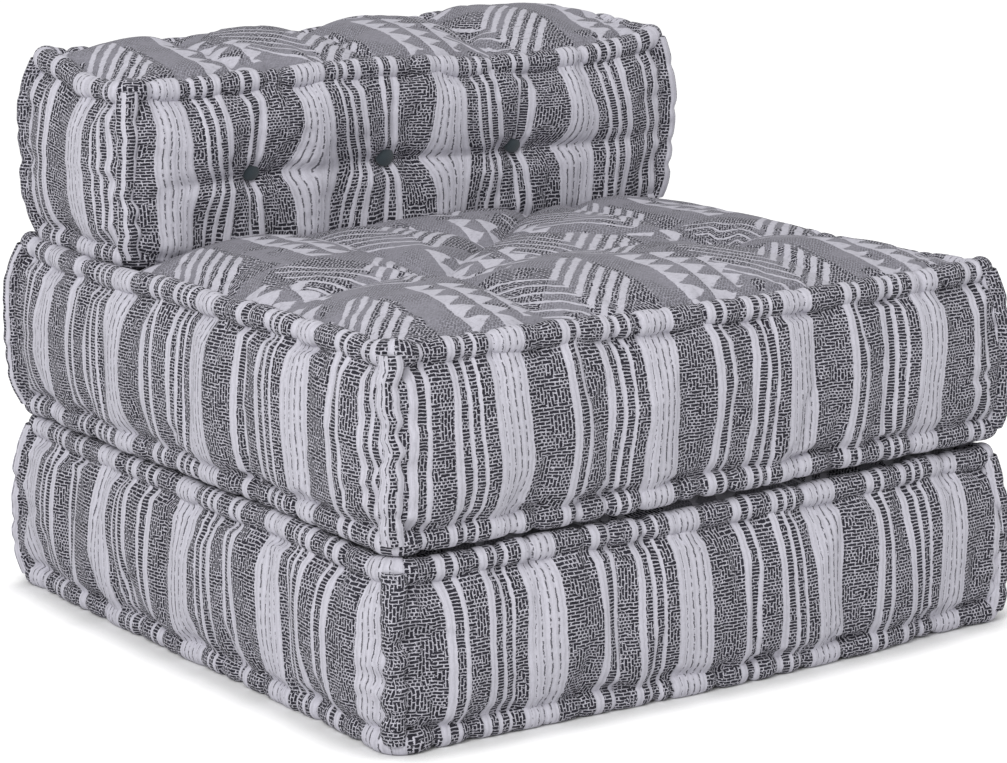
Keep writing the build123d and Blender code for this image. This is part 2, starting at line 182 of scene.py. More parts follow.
class SofaCloth(bpy.types.PropertyGroup):
    """Colours and pattern sizes of the woven cotton."""

    pale: bpy.props.FloatVectorProperty(
        name="Pale yarn", description="Pale yarn", subtype="COLOR", default=(0.52, 0.51, 0.57)
    )
    dark: bpy.props.FloatVectorProperty(
        name="Dark yarn", description="Dark yarn", subtype="COLOR", default=(0.022, 0.021, 0.028)
    )
    middle: bpy.props.FloatVectorProperty(
        name="Middle yarn", description="Middle grey yarn", subtype="COLOR", default=(0.215, 0.21, 0.24)
    )
    button: bpy.props.FloatVectorProperty(
        name="Button", description="Button cloth", subtype="COLOR", default=(0.022, 0.034, 0.042)
    )
    stripe_repeat: bpy.props.FloatProperty(
        name="Stripe repeat",
        description="Width of one repeat of the stripes",
        default=0.162,
        unit="LENGTH",
    )
    dash: bpy.props.FloatProperty(
        name="Dash", description="Pitch of the woven dashes", default=0.0033, unit="LENGTH"
    )


class SofaStage(bpy.types.PropertyGroup):
    """Camera and light."""

    azimuth: bpy.props.FloatProperty(
        name="Azimuth", description="Camera's turn about Z", default=radians(-34.69), subtype="ANGLE"
    )
    elevation: bpy.props.FloatProperty(
        name="Elevation", description="Camera over the horizon", default=radians(12.01), subtype="ANGLE"
    )
    roll: bpy.props.FloatProperty(
        name="Roll", description="Camera's turn about its line of sight", default=-0.00986, subtype="ANGLE"
    )
    distance: bpy.props.FloatProperty(
        name="Distance", description="Camera to the aim point", default=3.2925, unit="LENGTH"
    )
    lens: bpy.props.FloatProperty(
        name="Lens", description="Focal length on a 36 mm sensor, in millimetres", default=117.82
    )
    aim: bpy.props.FloatVectorProperty(
        name="Aim", description="Point the camera looks at", subtype="TRANSLATION",
        default=(0.0077, -0.0013, 0.2253),
    )
    world: bpy.props.FloatProperty(name="World", description="Strength of the even light", default=0.7)
    key: bpy.props.FloatProperty(name="Key", description="Power of the key lamp in watts", default=168.0)


# Numbers at random, the same in each run
def ripples(count, seed, rough=1.0):
    """Returns a smooth wave over 0 to 1 that closes on itself: count sine waves with whole
    numbers of periods and seeded phases, the finer ones weaker by their number to the power rough."""
    draw = np.random.default_rng(seed)
    phases = draw.uniform(0, 2 * pi, count)
    signs = draw.choice((-1.0, 1.0), count)
    numbers = np.arange(1, count + 1)

    def wave(share):
        turns = 2 * pi * np.multiply.outer(np.asarray(share), numbers) + phases
        return (np.sin(turns) * signs / numbers**rough).sum(-1) / np.sqrt((numbers ** (-2 * rough)).sum())

    return wave


def dune(x, y, size, seed):
    """A smooth field over the plane: five plane waves of about the given wavelength, summed."""
    draw = np.random.default_rng(seed)
    waves = 5
    angles, phases = draw.uniform(0, pi, waves), draw.uniform(0, 2 * pi, waves)
    stretches = draw.uniform(0.7, 1.4, waves)
    total = np.zeros(np.broadcast(x, y).shape)
    for angle, phase, stretch in zip(angles, phases, stretches):
        total += np.sin(2 * pi * (x * cos(angle) + y * sin(angle)) / (size * stretch) + phase)
    return total / np.sqrt(waves)


# Cushions as they lie in the frame
class Cushion:
    """Seam box of one cushion, from its edge rolls in the frame, and its gathers."""

    def __init__(self, name, seed):
        self.name = name
        self.seed = seed
        top_low, top_high = (np.array(corner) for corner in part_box(f"{name}_top_edge_roll"))
        bottom_low, bottom_high = (np.array(corner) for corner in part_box(f"{name}_bottom_edge_roll"))
        self.radius = (top_high[2] - top_low[2]) / 2
        self.low = top_low[:2] + self.radius
        self.high = top_high[:2] - self.radius
        self.centre = (self.low + self.high) / 2
        self.size = self.high - self.low
        self.levels = {"bottom": bottom_high[2] - self.radius, "top": top_high[2] - self.radius}
        self.tall = self.levels["top"] - self.levels["bottom"]
        self.underside = bottom_low[2]

    def corners(self):
        """The seam's four corners in the plan, from the front left one round."""
        return [self.low, [self.high[0], self.low[1]], self.high, [self.low[0], self.high[1]]]

    def length(self, side):
        """Seam length of one side."""
        return self.size[0] if side in ("front", "rear") else self.size[1]

    def start(self, side):
        """Distance round the seam at which a side's straight begins."""
        corner = shape().roll_corner
        walked = 0.0
        for name in SIDES[: SIDES.index(side)]:
            walked += self.length(name) - 2 * corner + corner * pi / 2
        return walked

    def girth(self):
        """Length of the whole seam, round the four rounded corners."""
        corner = shape().roll_corner
        return 2 * (self.size.sum() - 4 * corner) + 2 * pi * corner

    def gathers(self, seam):
        """Places round the seam of the gathers of its roll, with their depths and half widths:
        an even row on each side, each drawn aside, deepened and widened by seeded chance."""
        draw = np.random.default_rng(self.seed + (7 if seam == "top" else 13))
        corner, found = shape().roll_corner, []
        for side in SIDES:
            straight = self.length(side) - 2 * corner
            count = max(2, round(straight / shape().gather_pitch))
            steps = (np.arange(count) + 0.5) / count * straight
            found.append(self.start(side) + steps + draw.uniform(-1, 1, count) * shape().gather_pitch / 3)
        places = np.concatenate(found)
        depths = shape().gather_depth * draw.uniform(0.25, 1.5, len(places))
        return places, depths, shape().gather_width * draw.uniform(0.6, 1.5, len(places))

    def side_share(self, side, along):
        """Distance round the seam that belongs to a distance along one side."""
        corner = shape().roll_corner
        return self.start(side) + np.clip(along - corner, 0, self.length(side) - 2 * corner)

    def through_knots(self, knots, walked):
        """A closed smooth curve through four values to a side, at its corner and its quarters: a
        cubic between two neighbours, with the slope of the chord across each."""
        places = []
        for side in SIDES:
            straight = self.length(side) - 2 * shape().roll_corner
            places += [self.start(side) - shape().roll_corner * pi / 4]
            places += [self.start(side) + straight * share for share in (0.25, 0.5, 0.75)]
        places, girth = np.array(places), self.girth()
        x = np.concatenate([places[-2:] - girth, places, places[:3] + girth])
        y = np.concatenate([knots[-2:], knots, knots[:3]]) * MM
        slope = np.gradient(y, x)
        at = (walked - places[0]) % girth + places[0]
        i = np.clip(np.searchsorted(x, at, side="right") - 1, 1, len(x) - 3)
        step = x[i + 1] - x[i]
        t = (at - x[i]) / step
        ends = y[i] * (2 * t**3 - 3 * t**2 + 1) + y[i + 1] * (3 * t**2 - 2 * t**3)
        return ends + step * (slope[i] * (t**3 - 2 * t**2 + t) + slope[i + 1] * (t**3 - t**2))

    def near_corner(self, walked, width):
        """A bell round each corner of the seam."""
        total = 0.0
        for side in SIDES:
            gap = np.abs(walked - self.start(side) + shape().roll_corner * pi / 4)
            total = total + np.exp(-((np.minimum(gap, self.girth() - gap) / width) ** 2))
        return total

    def lift(self, seam, walked):
        """Height of the real seam over its level: its knots, small ripples and raised ears."""
        ripple = 0.5 if (self.name, seam) == ("base", "bottom") else 1.5
        total = self.through_knots(LIFTS_MM[self.name][seam], walked)
        wave = ripples(26, self.seed + (1 if seam == "top" else 2), 0.6)
        total = total + ripple * MM * wave(walked / self.girth())
        return total + (3.5 * MM * self.near_corner(walked, 15 * MM) if seam == "top" else 0.0)

    def push(self, seam, walked):
        """How far the real seam stands out from its line: its knots, small ripples and ears."""
        total = self.through_knots(PUSHES_MM[self.name][seam], walked)
        wave = ripples(30, self.seed + (3 if seam == "top" else 4), 0.5)
        total = total + 1.5 * MM * wave(walked / self.girth())
        return total + 3.0 * MM * self.near_corner(walked, 13 * MM)

    def seam_line(self, seam, walked):
        """Points and outward directions round a seam. The middle of a corner's circle walks along
        the straights and rests in the corners, while the direction turns only in the corners."""
        corner = shape().roll_corner
        inner = [self.low + corner, [self.high[0] - corner, self.low[1] + corner]]
        inner += [self.high - corner, [self.low[0] + corner, self.high[1] - corner]]
        stops, middles, turns = [0.0], [inner[0]], [0.0]
        for i, side in enumerate(SIDES):
            stops += [stops[-1] + self.length(side) - 2 * corner]
            stops += [stops[-1] + corner * pi / 2]
            middles += [inner[(i + 1) % 4]] * 2
            turns += [i * pi / 2, (i + 1) * pi / 2]
        middles = np.array(middles, float)
        walked = walked % self.girth()
        angle = np.interp(walked, stops, turns)
        out = np.stack([np.sin(angle), -np.cos(angle), np.zeros_like(angle)], -1)
        points = np.stack(
            [
                np.interp(walked, stops, middles[:, 0]),
                np.interp(walked, stops, middles[:, 1]),
                self.levels[seam] + self.lift(seam, walked),
            ],
            -1,
        )
        points += out * (corner + self.push(seam, walked))[:, None]
        return points, out


def shape():
    """The shape settings of the scene."""
    return bpy.context.scene.sofa_shape


def cloths():
    """The cloth settings of the scene."""
    return bpy.context.scene.sofa_cloth


def gathered(walked, gathers, girth, wider=1.0):
    """How much a place lies in the gathers: the sum of their depths, each under a bell."""
    places, depths, widths = gathers
    gap = np.abs(np.subtract.outer(walked, places))
    gap = np.minimum(gap, girth - gap)
    return (depths * np.exp(-((gap / (widths * wider)) ** 2))).sum(-1)


def arc_crown(share, power=2.6, fullness=0.6):
    """A stuffed section's height over its middle's, steep at the seams and full in between."""
    return np.clip(1 - np.abs(share) ** power, 0, 1) ** fullness


def valley(x, y, start, end, width):
    """A bell across a crease from start to end, 1 on it and fading on both sides."""
    start, end = np.array(start, float), np.array(end, float)
    along = end - start
    share = np.clip(((x - start[0]) * along[0] + (y - start[1]) * along[1]) / (along @ along), 0, 1)
    gap = np.hypot(x - start[0] - share * along[0], y - start[1] - share * along[1])
    return np.exp(-gap / width), share


# The real seams against straight ones, in millimetres: at each corner and at the quarters of
# the side after it, from the front left corner along the front, right, rear and left
LIFTS_MM = {
    "base": {
        "bottom": (0, 0, 0, 0, 0, 0, 0, 0, 0, 0, 0, 0, 0, 0, 0, 0),
        "top": (1, 2, 1, 3, 2, 4, 5, 4, 3, 5, 5, 4, 4, 6.5, 8.5, 7),
    },
    "seat": {
        "bottom": (0, 1, 1, 6, 6, 4, 4, 4, 4, 5, 5, 4, 3, 7, 6, 4),
        "top": (1, 0, 0.5, -1, -2, -6, -7, -5, -4, 0, 0, 0, 3, -1, 2, 2),
    },
    "back": {
        "bottom": (-2, 0, 0, 0, 0, 0, 0, 0, 0, 0, 0, 0, 0, 0, 0, -2),
        "top": (-15, -11, -11, -17, -5, 0, 3, 4, 4, 6, 1, 1, 0, -2, -12, -16),
    },
}
PUSHES_MM = {
    "base": {
        "bottom": (2, 6, 13, 10, -2, 3, 5, 3, 0, 5, 8, 5, -4, 0, 0, 0),
        "top": (-1, 2, 2, 1, -9, -3, 0, -3, -8, 2, 3, 2, -13, -2, 2, 1),
    },
    "seat": {
        "bottom": (0, 2, 3, 2, -7, -4, -2, -4, -8, 2, 3, 2, -10, 1, 2, 1),
        "top": (-2, 1, 2, 0, -15, -12, -9, -10, -12, 0, 1, 0, -15, -2, 0, 0),
    },
    "back": {
        "bottom": (0, -9, -10, -9, -2, 2, 3, 2, -2, -4, -4, -4, -3, 2, 3, 2),
        "top": (-2, 2, 0, 1, 2, 2, 2, 0, -3, 0, 1, 0, -5, 0, 1, 0),
    },
}
# How far the corner rolls bow out, from the front left corner round
BOWS_MM = {"base": (7, 9, 8, 13), "seat": (6, 12, 9, 17), "back": (9, 12, 9, 16)}

# Stripes: where a repeat starts on each panel, from its left or near end, and its sense
STRIPE_STARTS = {
    ("base", "front"): (0.125, 1), ("base", "left"): (0.160, 1),
    ("base", "rear"): (0.030, -1), ("base", "right"): (0.070, 1),
    ("seat", "front"): (0.095, 1), ("seat", "left"): (0.150, -1),
    ("seat", "rear"): (0.110, 1), ("seat", "right"): (0.020, 1),
    ("back", "front"): (0.054, -1), ("back", "left"): (0.052, 1),
    ("back", "rear"): (0.140, -1), ("back", "right"): (0.090, -1),
}


def stripe_place(cushion, side, x, y):
    """Distance across the stripes at a place of one side of a cushion."""
    start, sense = STRIPE_STARTS[(cushion.name, side)]
    along = x - cushion.low[0] if side in ("front", "rear") else y - cushion.low[1]
    return sense * (along - start)


def roll_place(cushion, side, walked):
    """The same along a roll, from the distance round the seam, so that a corner keeps the widths."""
    start, sense = STRIPE_STARTS[(cushion.name, side)]
    along = walked - cushion.start(side) + shape().roll_corner
    return sense * ((cushion.length(side) - along if side in ("rear", "left") else along) - start)


# Meshes from grids
def grid_faces(rows, columns, closed_rows=False, closed_columns=False):
    """Corner indices of the quads of a grid, row by row, joined end to end where closed."""
    across = columns if closed_columns else columns - 1
    down = rows if closed_rows else rows - 1
    r, c = np.meshgrid(np.arange(down), np.arange(across), indexing="ij")
    r2, c2 = (r + 1) % rows, (c + 1) % columns
    corners = [r * columns + c, r * columns + c2, r2 * columns + c2, r2 * columns + c]
    return np.stack(corners, -1).reshape(-1, 4)


def grid_normals(points):
    """Unit normals of a grid: the cross product of its two sets of central differences."""
    across = np.gradient(points, axis=1)
    down = np.gradient(points, axis=0)
    normal = np.cross(across, down)
    return normal / np.maximum(np.linalg.norm(normal, axis=-1, keepdims=True), 1e-12)


def make_piece(name, points, faces, uv, body, material, replaced):
    """Turns points, quads and their corners' pattern places into a smooth piece on its body."""
    mesh = bpy.data.meshes.new(name)
    mesh.from_pydata(points.reshape(-1, 3).tolist(), [], faces.tolist())
    layer = mesh.uv_layers.new(name="cloth")
    layer.data.foreach_set("uv", uv.reshape(-1, 2).astype(np.float32).ravel())
    mesh.polygons.foreach_set("use_smooth", np.ones(len(mesh.polygons), bool))
    mesh.materials.append(material)
    mesh.update()
    piece = bpy.data.objects.new(name, mesh)
    bpy.context.scene.collection.objects.link(piece)
    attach(piece, body)
    if replaced:
        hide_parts(*replaced)
    return piece


def cloth_shell(name, outer, uv, body, material, replaced):
    """A cloth of real thickness: the outer grid, the same grid moved inwards by the cloth along
    its normals, and a strip of quads all round its edge."""
    rows, columns = outer.shape[:2]
    inner = outer - grid_normals(outer) * shape().cloth
    front = grid_faces(rows, columns)
    count = rows * columns
    edge = np.concatenate(
        [
            np.arange(columns),
            np.arange(2, rows + 1) * columns - 1,
            (rows - 1) * columns + np.arange(columns - 2, -1, -1),
            np.arange(rows - 2, 0, -1) * columns,
        ]
    )
    ahead = np.roll(edge, -1)
    rim = np.stack([ahead, edge, edge + count, ahead + count], -1)
    faces = np.concatenate([front, front[:, ::-1] + count, rim])
    places = np.concatenate([uv.reshape(-1, 2)] * 2)
    return make_piece(
        name, np.concatenate([outer.reshape(-1, 3), inner.reshape(-1, 3)]), faces, places[faces], body,
        material, replaced,
    )


def spaced(length, fine, coarse, margin):
    """Places from 0 to length, fine near both ends and coarse beyond the margin."""
    ends = np.arange(0, margin, fine)
    middle = np.linspace(margin, length - margin, max(2, round((length - 2 * margin) / coarse) + 1))
    return np.concatenate([ends, middle, (length - ends)[::-1]])


# Surfaces of one cushion
def corner_bow(cushion, number, rise):
    """How far the roll at a corner bows out along the diagonal: a full arch with one wave."""
    arch = 1 - np.abs(2 * rise - 1) ** 3
    return (BOWS_MM[cushion.name][number] * arch + 1.4 * np.sin(10 * rise + 2 * number) * arch) * MM


def side_point(cushion, side, along, rise):
    """Points of a side cloth. Between the two real seams it stands out by the swell, which is
    full in the middle, steep at the seams and less at both ends, where it bends to the bowed
    corner rolls. Gathers of the rolls pull it in, soft folds run up it, a tufted face is
    creased through its buttons, and a face that stands on the seat bulges down over its roll."""
    form = shape()
    length = cushion.length(side)
    walked = cushion.side_share(side, along)
    index = SIDES.index(side)
    out = np.array([sin(index * pi / 2), -cos(index * pi / 2), 0.0])
    way = np.array([cos(index * pi / 2), sin(index * pi / 2), 0.0])
    origin = np.array([*cushion.corners()[index], 0.0])
    low = cushion.levels["bottom"] + cushion.lift("bottom", walked)
    high = cushion.levels["top"] + cushion.lift("top", walked)
    push = cushion.push("bottom", walked) * (1 - rise) + cushion.push("top", walked) * rise
    tufted = cushion.name == "back" and side in ("front", "rear")
    narrow = cushion.name == "back" and not tufted
    ends = 1 - 0.85 * np.abs(2 * along / length - 1) ** (5 if narrow else 12)
    swell = form.face_swell if tufted else form.end_swell if narrow else form.side_swell
    full = arc_crown(2 * rise - 1)
    stand = swell * ends * full
    tall = cushion.tall
    for seam, gap in (("bottom", rise * tall), ("top", (1 - rise) * tall)):
        near = np.exp(-np.maximum(gap - cushion.radius, 0) / SIDE_GATHER_FADE)
        bells = gathered(walked, cushion.gathers(seam), cushion.girth(), 1.7)
        groove = np.exp(-(((gap - cushion.radius) / GROOVE_WIDTH) ** 2))
        stand = stand - near * full * (SIDE_GATHER_PULL * bells - SIDE_PUFF) - SIDE_GROOVE * groove
    folds = dune(along, rise * tall * 0.3, 0.085, cushion.seed * 10 + index)
    stand = stand + SOFT_FOLD * folds * full
    near_start, near_end = np.exp(-along / CORNER_REACH), np.exp(-(length - along) / CORNER_REACH)
    tucks = np.sin((3.4 * rise + 0.3 * dune(along, rise, 0.3, index)) * 2 * pi + index + cushion.seed)
    stand = stand + CORNER_TUCK * (near_start + near_end) * full * tucks
    start_bow = corner_bow(cushion, index, rise) * near_start
    end_bow = corner_bow(cushion, (index + 1) % 4, rise) * near_end
    aside = DIAGONAL_SHARE * (end_bow - start_bow)
    stand = stand + DIAGONAL_SHARE * (start_bow + end_bow)
    level = low + rise * (high - low)
    if tufted:
        stand = stand - swell * face_creases(cushion, side, along, rise)
        foot = ends * np.exp(-((rise / 0.16) ** 2)) * np.clip(rise / 0.05, 0, 1)
        between = dune(along, 0 * rise, 0.12, cushion.seed + index)
        level = level - FOOT_DROP * foot
        stand = stand + (FOOT_BULGE_MM + FOOT_SCALLOP_MM * between) * MM * foot
        level = np.maximum(level, cushion.underside + 1.5 * MM)
    points = origin + way * (along + aside)[..., None] + out * (stand + push)[..., None]
    points[..., 2] = level
    return points


def button_places(cushion, side):
    """Distances of the buttons along one face and their height as a share, from the frame."""
    low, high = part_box(f"back_{side}_buttons")
    radius = (high[2] - low[2]) / 2
    xs = np.linspace(low[0] + radius, high[0] - radius, 3)
    along = xs - cushion.low[0] if side == "front" else cushion.high[0] - xs
    rise = ((low[2] + high[2]) / 2 - cushion.levels["bottom"]) / cushion.tall
    return along, rise


def face_creases(cushion, side, along, rise):
    """How much of the swell a tufted face loses: all of it at a button, most of it along the
    crease that joins the buttons, and some in the folds that fan out from each."""
    buttons, level = button_places(cushion, side)
    x, z = along, (rise - level) * cushion.tall
    length = cushion.length(side)
    loss = np.zeros(np.broadcast(along, rise).shape)
    stops = sorted([0.03, *buttons, length - 0.03])
    for start, end in zip(stops, stops[1:]):
        crease, share = valley(x, z, (start, 0.0), (end, 0.0), 10 * MM)
        sag = 1 - 0.45 * np.sin(pi * share)
        if start == stops[0]:
            sag = share * 0.55 + 0.2
        if end == stops[-1]:
            sag = (1 - share) * 0.55 + 0.2
        loss = np.maximum(loss, 0.85 * crease * sag)
    for button in buttons:
        for lean, reach, depth in ((0.10, 0.085, 0.42), (-0.35, 0.06, 0.30), (0.55, 0.055, 0.28)):
            for sense in (-1, 1):
                end = (button + sense * lean * reach, sense * reach)
                crease, share = valley(x, z, (button, 0), end, 7 * MM)
                loss = np.maximum(loss, depth * crease * (1 - share))
        gap = np.hypot(x - button, z)
        loss = np.maximum(loss, 1.04 * np.exp(-((gap / (15 * MM)) ** 1.5)) * 0.9)
    return loss


def tuft_places(cushion):
    """The five tufts of a seat or base, from the twine in the frame: four and the middle."""
    low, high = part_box(f"{cushion.name}_tuft_twine")
    inset = 4 * MM
    xs, ys = (low[0] + inset, high[0] - inset), (low[1] + inset, high[1] - inset)
    return [((xs[0] + xs[1]) / 2, (ys[0] + ys[1]) / 2)] + [(x, y) for x in xs for y in ys]


def press_limit(cushion, x, y):
    """Height over the top seam that what lies above leaves to a top cloth: its own underside
    within its edges, and rising freely with the distance outside them."""
    above = {"base": "seat", "seat": "back"}.get(cushion.name)
    if above is None:
        return np.full(np.broadcast(x, y).shape, 1.0)
    over = made[above]
    gap_x = np.maximum(np.maximum(over.low[0] - x, x - over.high[0]), 0)
    gap_y = np.maximum(np.maximum(over.low[1] - y, y - over.high[1]), 0)
    gap = np.maximum(np.hypot(gap_x, gap_y) - over.radius, 0)
    return over.underside - cushion.levels["top"] - 0.6 * MM + 0.8 * gap


def edge_places(cushion, x, y):
    """For each side, how far a place in the plan lies behind its seam, and how far along it."""
    left, front = x - cushion.low[0], y - cushion.low[1]
    right, rear = cushion.high[0] - x, cushion.high[1] - y
    return zip(SIDES, (front, right, rear, left), (left, front, right, rear))


def top_height(cushion, x, y):
    """Height of a top cloth over its seam level: a crown, steep at the seams, less the valleys
    between the tufts, the pull of each tuft and of the rolls' gathers, under the press limit."""
    form = shape()
    tufted = cushion.name != "back"
    crown = form.crown if tufted else form.back_crown
    share_x = 2 * (x - cushion.centre[0]) / cushion.size[0]
    share_y = 2 * (y - cushion.centre[1]) / cushion.size[1]
    long_power, short_power = (4.5, 4.5) if tufted else (6.0, 2.6)
    full = arc_crown(np.clip(share_x, -1, 1), long_power) * arc_crown(np.clip(share_y, -1, 1), short_power)
    height = crown * full
    loss = np.zeros(full.shape)
    if tufted:
        tufts = tuft_places(cushion)
        middle, corners = tufts[0], tufts[1:]
        lines = [(middle, corner, DIAGONAL_VALLEY_SHARE) for corner in corners]
        for first, second in ((0, 1), (2, 3), (0, 2), (1, 3)):
            lines += [(corners[first], corners[second], STRAIGHT_VALLEY_SHARE)]
        for x0, y0 in corners:
            edge_x = cushion.low[0] if x0 < cushion.centre[0] else cushion.high[0]
            edge_y = cushion.low[1] if y0 < cushion.centre[1] else cushion.high[1]
            for end in ((edge_x, y0), (x0, edge_y)):
                lines += [((x0, y0), end, STRAIGHT_VALLEY_SHARE)]
        for start, end, depth in lines:
            crease, share = valley(x, y, start, end, VALLEY_WIDTH)
            loss = np.maximum(loss, depth * crease * (1 - 0.35 * np.sin(pi * share)))
        for x0, y0 in tufts:
            gap = np.hypot(x - x0, y - y0)
            loss = np.maximum(loss, TUFT_SHARE * np.exp(-((gap / TUFT_WIDTH) ** 1.2)))
    else:
        buttons, _ = button_places(cushion, "front")
        for along in buttons:
            gap = np.abs(x - cushion.low[0] - along + 6 * MM * np.sin(12 * share_y))
            loss = np.maximum(loss, BACK_VALLEY_SHARE * np.exp(-gap / VALLEY_WIDTH))
    height = height * (1 - loss)
    height = height + TOP_FOLD * dune(x, y, 0.09, cushion.seed * 3) * full
    weights, lifts = 1e-9, 0.0
    for side, gap, along in edge_places(cushion, x, y):
        walked = cushion.side_share(side, along)
        near = np.exp(-np.maximum(gap - cushion.radius, 0) / TOP_GATHER_FADE)
        bells = gathered(walked, cushion.gathers("top"), cushion.girth(), 1.8)
        groove = np.exp(-(((gap - cushion.radius) / GROOVE_WIDTH) ** 2))
        height = height - near * full * (TOP_GATHER_PULL * bells - TOP_PUFF) - TOP_GROOVE * groove
        weight = 1 / (np.maximum(gap, 0) + 4 * MM) ** 2
        weights, lifts = weights + weight, lifts + weight * cushion.lift("top", walked)
    return pressed(cushion, x, y, height + lifts / weights)


def pressed(cushion, x, y, height):
    """Heights brought smoothly under the press limit."""
    soft = 2 * MM
    over = np.clip((height - press_limit(cushion, x, y)) / soft, -30, 30)
    return height - soft * np.log1p(np.exp(over))


def moved_edges(cushion, seam, x, y):
    """A place in the plan moved with the nearest seams: each side pushes it out by what its
    seam stands out, fading over a sixth of the cushion."""
    new_x, new_y = x, y
    reach = cushion.size.min() / 6
    for index, (side, gap, along) in enumerate(edge_places(cushion, x, y)):
        move = cushion.push(seam, cushion.side_share(side, along)) * np.exp(-np.maximum(gap, 0) / reach)
        new_x = new_x + sin(index * pi / 2) * move
        new_y = new_y - cos(index * pi / 2) * move
    return new_x, new_y


def top_point(cushion, x, y, inset=0.0):
    """Points of a top cloth at a place in the plan, pushed out with the seams at the edges."""
    height = top_height(cushion, x, y) - inset
    return np.stack([*moved_edges(cushion, "top", x, y), cushion.levels["top"] + height], -1)


def bottom_point(cushion, x, y, inset=0.0):
    """Points of a bottom cloth: flat on what carries it, rising to the seam at its edges by a
    high power of the distance, with a dimple at each tuft."""
    share_x = 2 * (x - cushion.centre[0]) / cushion.size[0]
    share_y = 2 * (y - cushion.centre[1]) / cushion.size[1]
    edge = np.maximum(np.abs(share_x), np.abs(share_y))
    rise = (cushion.levels["bottom"] - cushion.underside) * np.clip(edge, 0, 1) ** 60
    if cushion.name != "back":
        for x0, y0 in tuft_places(cushion):
            gap = np.hypot(x - x0, y - y0)
            rise = rise + 10 * MM * np.exp(-((gap / (18 * MM)) ** 1.4))
    return np.stack([*moved_edges(cushion, "bottom", x, y), cushion.underside + 0.5 * MM + rise + inset], -1)


# Cloth solver
def settled(points, held, cap):
    """How far a cloth moves from a grid of points when it is a little too large for it, blown
    out from behind and held at some of them: a run of the cloth solver without gravity, in
    which no point moves further than the cap, or further inwards than the inward limit."""
    scene = bpy.context.scene
    mesh = bpy.data.meshes.new("settling_cloth")
    mesh.from_pydata(points.reshape(-1, 3).tolist(), [], grid_faces(*points.shape[:2]).tolist())
    cloth = bpy.data.objects.new("settling_cloth", mesh)
    scene.collection.objects.link(cloth)
    cloth.vertex_groups.new(name="held").add(np.flatnonzero(held).tolist(), 1.0, "REPLACE")
    solver = cloth.modifiers.new("cloth", "CLOTH")
    solver.settings.quality = SOLVER_QUALITY
    solver.settings.mass = CLOTH_MASS
    solver.settings.use_pressure = True
    solver.settings.uniform_pressure_force = SOLVER_PRESSURE
    solver.settings.shrink_min = -SOLVER_EXCESS_SHARE
    solver.settings.vertex_group_mass = "held"
    solver.settings.effector_weights.gravity = 0.0
    solver.collision_settings.use_collision = False
    solver.point_cache.frame_start = 1
    solver.point_cache.frame_end = SOLVER_FRAMES
    for number in range(1, SOLVER_FRAMES + 1):
        scene.frame_set(number)
    result = cloth.evaluated_get(bpy.context.evaluated_depsgraph_get()).data
    moved = np.empty(points.size)
    result.vertices.foreach_get("co", moved)
    bpy.data.objects.remove(cloth)
    bpy.data.meshes.remove(mesh)
    scene.frame_set(1)
    move = moved.reshape(points.shape) - points
    move = move * cap / np.sqrt(cap**2 + np.linalg.norm(move, axis=-1, keepdims=True) ** 2)
    normal = grid_normals(points)
    inwards = np.minimum((move * normal).sum(-1, keepdims=True) + INWARD_LIMIT, 0)
    return move - normal * inwards


def spread(count, wanted):
    """Weights that carry evenly spaced values to wanted places from 0 to 1: a cubic between two
    neighbours, with the slope of the chord across each."""
    at = np.asarray(wanted) * (count - 1)
    first = np.clip(np.floor(at).astype(int), 0, count - 2)
    t = at - first
    table = np.zeros((len(at), count))
    weights = (
        (-1, -t / 2 + t**2 - t**3 / 2),
        (0, 1 - 2.5 * t**2 + 1.5 * t**3),
        (1, t / 2 + 2 * t**2 - 1.5 * t**3),
        (2, -(t**2) / 2 + t**3 / 2),
    )
    for step, weight in weights:
        np.add.at(table, (np.arange(len(at)), np.clip(first + step, 0, count - 1)), weight)
    return table


def carried(move, down, across):
    """Moves of a coarse grid at the places of a finer one, given as shares of both lengths."""
    by_rows = np.tensordot(spread(move.shape[0], down), move, axes=(1, 0))
    return np.einsum("cj,rjk->rck", spread(move.shape[1], across), by_rows)


def border(rows, columns):
    """True on the edge of a grid."""
    edge = np.zeros((rows, columns), bool)
    edge[[0, -1]] = edge[:, [0, -1]] = True
    return edge


